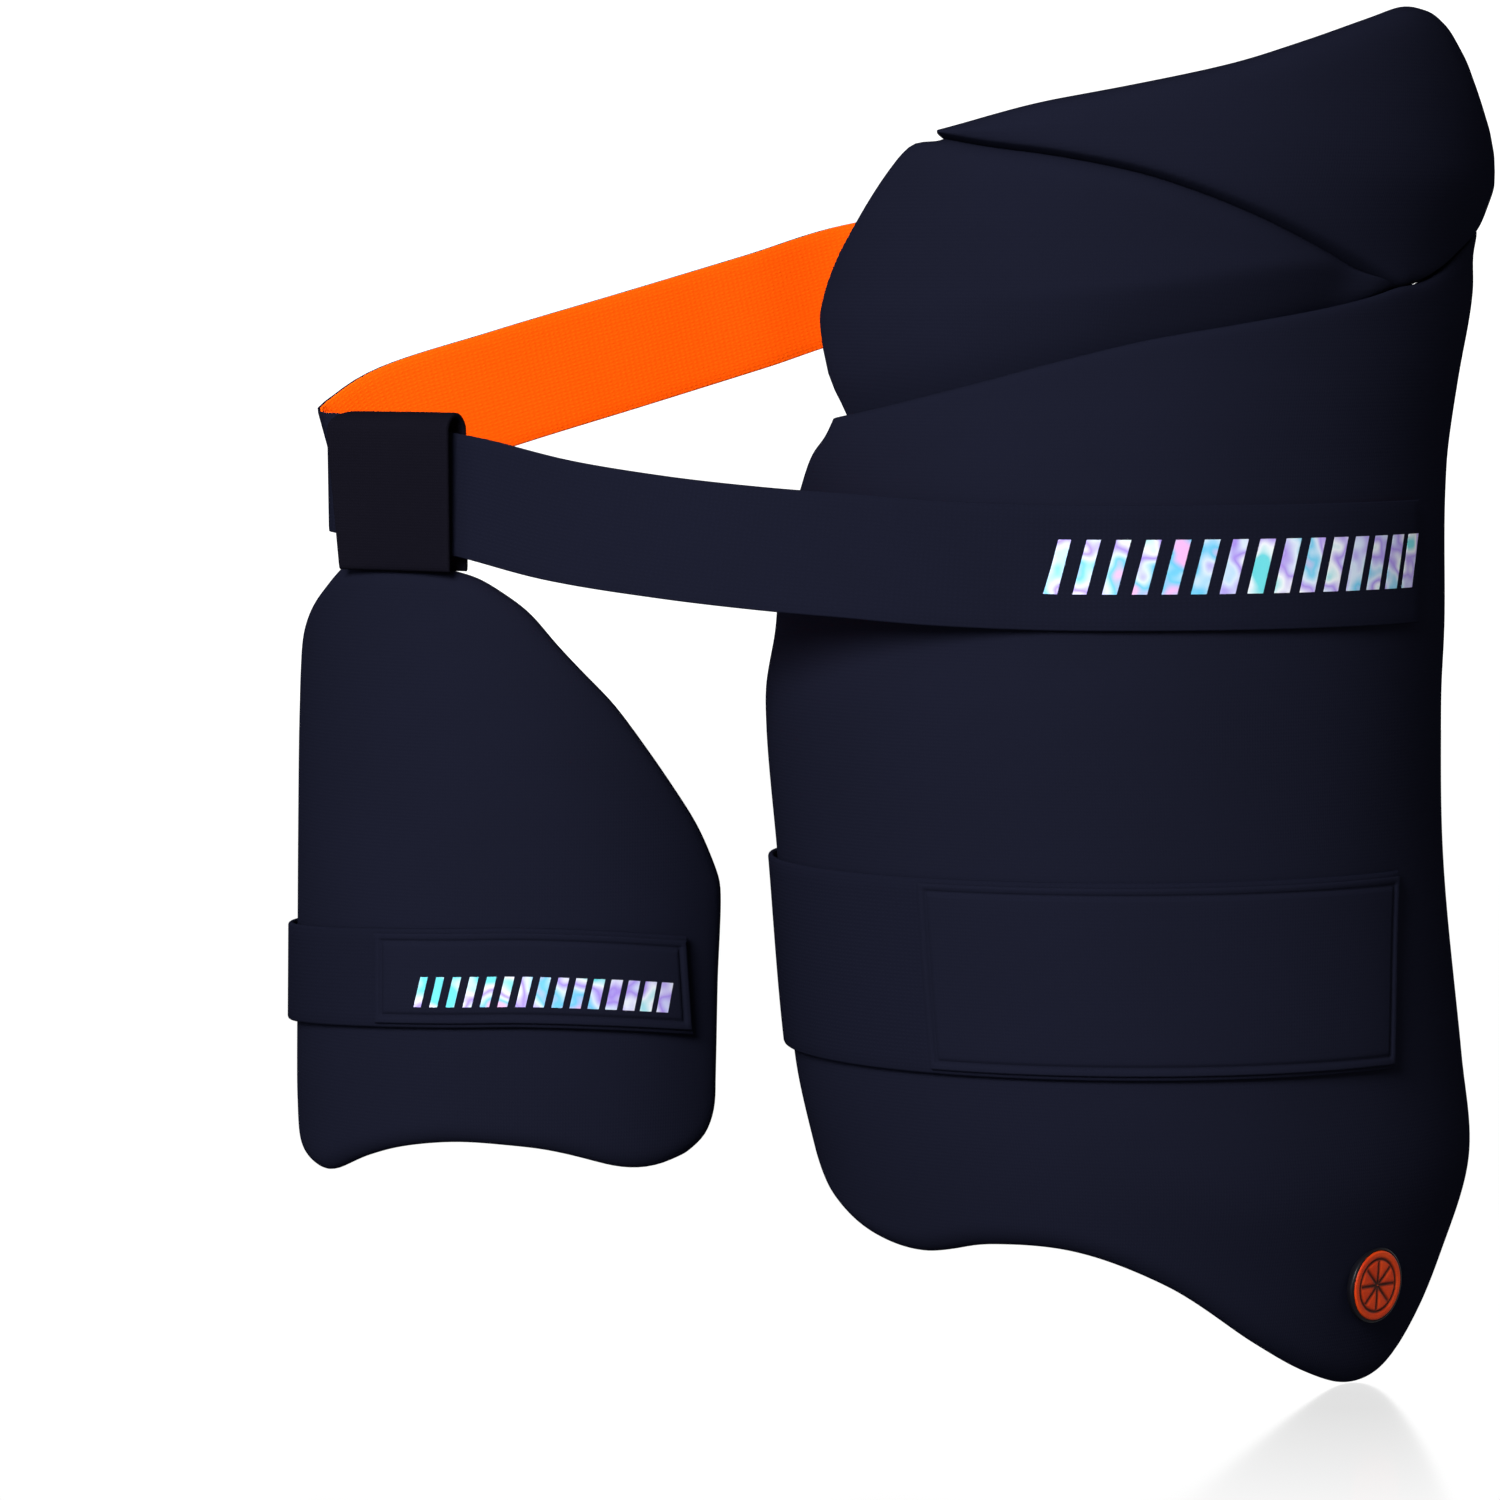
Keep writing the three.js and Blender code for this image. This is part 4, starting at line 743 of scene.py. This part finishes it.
def strapStrip(leg, s):
    # on the guard's front, over its edge, round behind the leg and under the other edge
    rise = np.linspace(-0.5, 0.5, 9)
    outside = seatGap + s["thickness"] / 2
    inside = -s["foam"] - outside
    front = np.linspace(s["endTurn"], -leg["left"], round((s["endTurn"] + leg["left"]) / 2) + 1)
    hiddenRows = [(-leg["left"], outside)] + [(t, leg["face"] * (r - 1)) for t, r in s["back"]]
    hidden = np.array((hiddenRows + [(leg["right"] - 360, inside)])[::-1], float)
    behind = np.arange(-leg["left"] - 2, leg["right"] - 358, -2.0)
    tailCount = 12
    tail = leg["right"] - 360 - np.linspace(0, s["tailTurn"], tailCount)
    turn = np.concatenate([front, behind, tail])
    lift = np.concatenate([np.full(len(front), outside), columnAt(hidden, 1, behind),
                           np.full(tailCount, inside)])
    progress = np.clip((s["endTurn"] - turn) / (s["endTurn"] + leg["left"]), 0, 1)
    tilt = s["slant"] * (1 - progress) ** 3
    middle = s["middle"] + s["width"] * columnAt(s["sag"], 1, turn)
    points = legPoint(leg, turn[:, None] + 2 * rise[None] * tilt[:, None],
                      middle[:, None] + rise[None] * s["width"], lift[:, None])
    angle = np.radians(turn)
    outward = np.stack([np.sin(angle), -np.cos(angle), np.zeros(len(turn))], -1)
    return dict(run=runOf(points[:, 4]), points=points, outward=outward)


thighStrapSet = dict(endTurn=50.0, slant=3.3, width=60.5, thickness=2.0, foam=largeFoam, tailTurn=22.0,
                     back=largeStrapBack, edge=0.9, cell=4.0, middle=-157.0, sag=levelStrap)
# the small strap ends 1 degree sooner than the solid and leans 1 degree there
innerStrapSet = dict(endTurn=34.0, slant=-1.0, width=31.5, thickness=2.0, foam=small["thickness"],
                     tailTurn=22.0, back=smallStrapBack, edge=0.9, cell=4.0, middle=neckTop - 127.4,
                     sag=smallStrapSag)
tabSet = dict(thickness=1.2, gap=0.1, margin=1.5, edge=0.5, cell=4.0, border=2.6, press=0.85, seam=0.6)


def strapAndTab(leg, s, tabTurn, names, nodes):
    # the strap, and its tab laid on the front of it over so many degrees
    strip = strapStrip(leg, s)
    strap = webbing(names[0], strip, -s["thickness"] / 2, s["thickness"] / 2, s["width"], s)
    dress(strap, nodes[0], elasticWebbing)
    mmPerTurn = math.radians(1) * (leg["face"] + seatGap + s["thickness"] / 2)
    low = s["thickness"] / 2 + tabSet["gap"]
    start = tabSet["margin"]
    tab = webbing(names[1], strip, low, low + tabSet["thickness"], s["width"] - 2 * start,
                  {**tabSet, "inset": start / s["width"]}, start, start + tabTurn * mmPerTurn)
    dress(tab, nodes[1], knittedLycra)
    return strip


thighStrip = strapAndTab(large, thighStrapSet, 84.5, ("thighStrapWebbing", "thighStrapTab"),
                         ("thigh_strap", "thigh_strap_tab"))
innerStrip = strapAndTab(small, innerStrapSet, 71.3, ("innerStrapWebbing", "innerStrapTab"),
                         ("inner_strap", "inner_strap_tab"))
print("straps made,", round(thighStrip["run"][-1]), "and", round(innerStrip["run"][-1]), "mm long")

# foil transfer: a row of slanted bars, plain stripes as on any sports strap
beltFoil = dict(start=3.0, length=136.0, bars=15, height=16.5, middle=0.51, slant=4.5, fill=0.6, lift=0.04,
                film=0.08)
tabFoil = dict(start=8.7, length=83.4, bars=15, height=9.5, middle=0.366, slant=2.5, fill=0.6, lift=0.04,
               film=0.08)


def foilBars(name, strip, surface, width, s):
    # each bar is a slanted parallelogram on the strip's face: along = start + pitch k + fill u + slant v
    u, v = np.meshgrid(np.linspace(0, 1, 5), np.linspace(-0.5, 0.5, 7), indexing="ij")
    pitch = s["length"] / s["bars"]
    taper = np.linspace(1.15, 0.75, s["bars"])
    k = np.arange(s["bars"])[:, None]
    along = s["start"] + pitch * k + pitch * s["fill"] * taper[:, None] * u.ravel() - s["slant"] * v.ravel()
    share = np.broadcast_to(s["middle"] + v.ravel() * s["height"] / width, along.shape)
    layers = []
    for lift in (s["lift"] + s["film"], s["lift"]):
        places = stripPoint(strip, along.ravel(), share.ravel(), np.full(along.size, surface + lift))
        layers.append(places.reshape(s["bars"], u.size, 3))
    points = np.concatenate(layers, axis=1).reshape(-1, 3)
    faces = shellFaces(*u.shape)[:, ::-1]
    faces = (faces[None] + 2 * u.size * np.arange(s["bars"])[:, None, None]).reshape(-1, 4)
    flat = np.tile(np.stack([along, share * width], -1), (1, 2, 1)).reshape(-1, 2) * mm
    piece = makePiece(name, points, faces, flat)[0]
    piece.data.shade_flat()
    return dress(piece, None, transferFoil)


innerTabFace = innerStrapSet["thickness"] / 2 + tabSet["gap"] + tabSet["thickness"]
foilBars("beltFoilBars", beltPath, beltFace, belt["width"], beltFoil)
foilBars("innerTabFoilBars", innerStrip, innerTabFace, innerStrapSet["width"], tabFoil)
print("foil bars made")

# round badge: dish and emblem turned from profiles; it leans only 0.3 times as much as the guard's face, its
# rim is thinner than the solid's and its grooves are 0.6 mm deep
badgeSet = dict(radius=11.8, thickness=1.6, rim=0.8, turn=43.7, drop=255.0, emblem=1.2, gap=0.15, lean=0.3,
                press=0.6, ringPlace=0.76, ringWidth=0.5, petalGap=2.2, petalReach=0.7)


def lathe(name, profile, place, axis, relief=None):
    # the profile's radius and height carried round in full circles; relief adds to the height, and how deep
    # it goes is kept as the groove attribute, which the material paints as shade in the grooves
    steps = 96
    angle = np.linspace(0, 2 * math.pi, steps + 1)[:-1]
    r, h = np.asarray(profile, float).T
    height = h[:, None] + (relief(r[:, None], angle[None]) if relief else 0 * angle[None])
    side = unit(np.cross(np.array([0, 0, 1.0]), axis))
    up = np.cross(axis, side)
    across, upwards = r[:, None] * np.cos(angle), r[:, None] * np.sin(angle)
    points = place + across[..., None] * side + upwards[..., None] * up + height[..., None] * axis
    grid = np.arange(points.shape[0] * steps).reshape(-1, steps)
    following = np.roll(grid, -1, axis=1)
    faces = np.stack([grid[:-1], following[:-1], following[1:], grid[1:]], -1).reshape(-1, 4)
    uv = np.stack([across, upwards], -1).reshape(-1, 2) * mm
    piece, first = makePiece(name, points.reshape(-1, 3), faces, uv)
    if relief:
        fullDepth = 0.5  # mm at which a groove is wholly dark
        depth = np.clip(-relief(r[:, None], angle[None]) / fullDepth, 0, 1).ravel()[first]
        groove = piece.data.attributes.new("groove", "FLOAT", "POINT")
        groove.data.foreach_set("value", depth.astype(np.float32))
    return piece


def badgePieces(s):
    # axis from the face's own slopes round and up the guard; two profiles turned about it
    centre = legPoint(large, s["turn"], -s["drop"], seatGap)
    lean = np.array([s["lean"], s["lean"], 1])
    upward = (legPoint(large, s["turn"], -s["drop"] + 2, seatGap) - centre) * lean
    sideways = legPoint(large, s["turn"] + 2, -s["drop"], seatGap) - centre
    axis = unit(np.cross(sideways, upward))
    R, t, rim = s["radius"], s["thickness"], s["rim"]
    lip = t + s["emblem"] * 0.8
    dishProfile = [(0, 0), (R - 0.4, 0), (R, 0.3), (R, lip - 0.5), (R - 0.2, lip - 0.12), (R - 0.5, lip),
                   (R - rim + 0.1, lip), (R - rim, lip - 0.15), (R - rim, t), (0, t)]
    dress(lathe("badgeDishRubber", dishProfile, centre, axis), "badge_dish", mouldedRubber)
    inner = R - rim - s["gap"]
    low, high = t + s["gap"], t + s["gap"] + s["emblem"]
    rings = np.linspace(inner * 0.96, 0.02, 40)
    emblemProfile = [(0, low), (inner, low), (inner, high - 0.3), *[(q, high) for q in rings], (0, high)]

    def relief(r, angle):
        # an outer ring, and eight petals divided by narrow grooves
        top = (r < inner * 0.97) & (r > 0.05)
        ring = np.exp(-((r - inner * s["ringPlace"]) / s["ringWidth"]) ** 2)
        petals = np.exp(-((np.sin(4 * angle) * r) / s["petalGap"]) ** 2) * (r < inner * s["petalReach"])
        return -s["press"] * top * np.maximum(ring, petals)

    emblem = lathe("badgeEmblemRubber", emblemProfile, centre, axis, relief)
    dress(emblem, "badge_emblem", orangeRubber)


badgePieces(badgeSet)
print("badge made")

# white glossy table under the lowest tip, a white wall far behind it, soft light from the left, weak light
# from low left and right, and one from behind
studio = dict(floorBelow=0.4, shine=(0.25, 0.07), shineReach=(0.015, 0.19), tableGlow=1.0,
              tableRoughness=0.13, wall=1.2, key=134.0, fill=23.0, rightFill=9.0, back=70.0, ambient=0.33,
              sky=1.2)


def softLight(name, place, aim, size, power, colour=(1, 1, 1)):
    # round lamp, in metres and watts, turned to its aim
    data = bpy.data.lights.new(name, "AREA")
    data.shape = "DISK"
    data.size = size
    data.energy = power
    data.color = colour
    light = addObject(name, data)
    light.location = place
    light.rotation_euler = (Vector(aim) - Vector(place)).to_track_quat("-Z", "Y").to_euler()
    return light


def stagePlane(name, corners, glow, shine=(0.0, 0.0), reach=(0.0, 1.0), spot=(0, 0, 0), roughness=0.5):
    # a white sheet: its own even glow, mixed with a share of gloss that fades away from one spot
    mesh = bpy.data.meshes.new(name)
    mesh.from_pydata(corners, [], [(0, 1, 2, 3)])
    plane = addObject(name, mesh)
    material, tree = newMaterial(name)
    light = addNode(tree, "ShaderNodeEmission", None, {"Color": (1, 1, 1, 1), "Strength": glow})
    gloss = addNode(tree, "ShaderNodeBsdfGlossy", None, {"Color": (1, 1, 1, 1), "Roughness": roughness})
    place = addNode(tree, "ShaderNodeTexCoord")
    away = addNode(tree, "ShaderNodeVectorMath", {"operation": "DISTANCE"},
                   {0: place.outputs["Object"], 1: spot})
    share = addNode(tree, "ShaderNodeMapRange", None,
                    {"Value": away.outputs["Value"], "From Min": reach[0], "From Max": reach[1],
                     "To Min": shine[0], "To Max": shine[1]})
    both = addNode(tree, "ShaderNodeMixShader", None,
                   {0: share.outputs[0], 1: light.outputs[0], 2: gloss.outputs[0]})
    addNode(tree, "ShaderNodeOutputMaterial", None, {"Surface": both.outputs[0]})
    mesh.materials.append(material)
    plane.visible_diffuse = False  # keeps the white sheets' light off the dark cloth, as black cards would
    return plane


def buildStudio(s):
    side, z, far, high = 9.0, -(large["drop"] + s["floorBelow"]) * mm, 3.0, 2.5
    under = (0.163, -0.088, z)  # the place below the lowest tip
    floor = [(-side, -side, z), (side, -side, z), (side, far, z), (-side, far, z)]
    table = stagePlane("studioTable", floor, s["tableGlow"], s["shine"], s["shineReach"], under,
                       s["tableRoughness"])
    table.visible_glossy = False
    behind = [(-side, far, z), (side, far, z), (side, far, high), (-side, far, high)]
    wall = stagePlane("studioWall", behind, s["wall"])
    wall.visible_shadow = False
    softLight("keyLight", (-0.86, -2.1, 0.95), (0.03, 0, -0.14), 1.1, s["key"])
    softLight("leftFillLight", (-2.3, -0.9, -0.3), (0, 0, -0.2), 1.6, s["fill"])
    softLight("rightFillLight", (2.0, -1.2, -0.2), (0.1, 0, -0.15), 1.2, s["rightFill"], (1, 0.88, 0.62))
    backLight = softLight("backLight", (-0.8, 2.2, 0.9), (0, 0, -0.1), 1.4, s["back"])
    backLight.visible_glossy = False  # it shows the pads' insides from behind and isn't seen in the table
    world = bpy.data.worlds.new("studioWorld")
    bpy.context.scene.world = world
    world.use_nodes = True
    tree = world.node_tree
    tree.nodes.clear()
    seen = addNode(tree, "ShaderNodeLightPath")
    strength = addNode(tree, "ShaderNodeMapRange", None,
                       {"Value": seen.outputs["Is Camera Ray"], "To Min": s["ambient"], "To Max": s["sky"]})
    sky = addNode(tree, "ShaderNodeBackground", None,
                  {"Color": (1, 1, 1, 1), "Strength": strength.outputs[0]})
    addNode(tree, "ShaderNodeOutputWorld", None, {"Surface": sky.outputs[0]})


buildStudio(studio)
bpy.context.scene.view_settings.view_transform = "Standard"
print("studio ready")
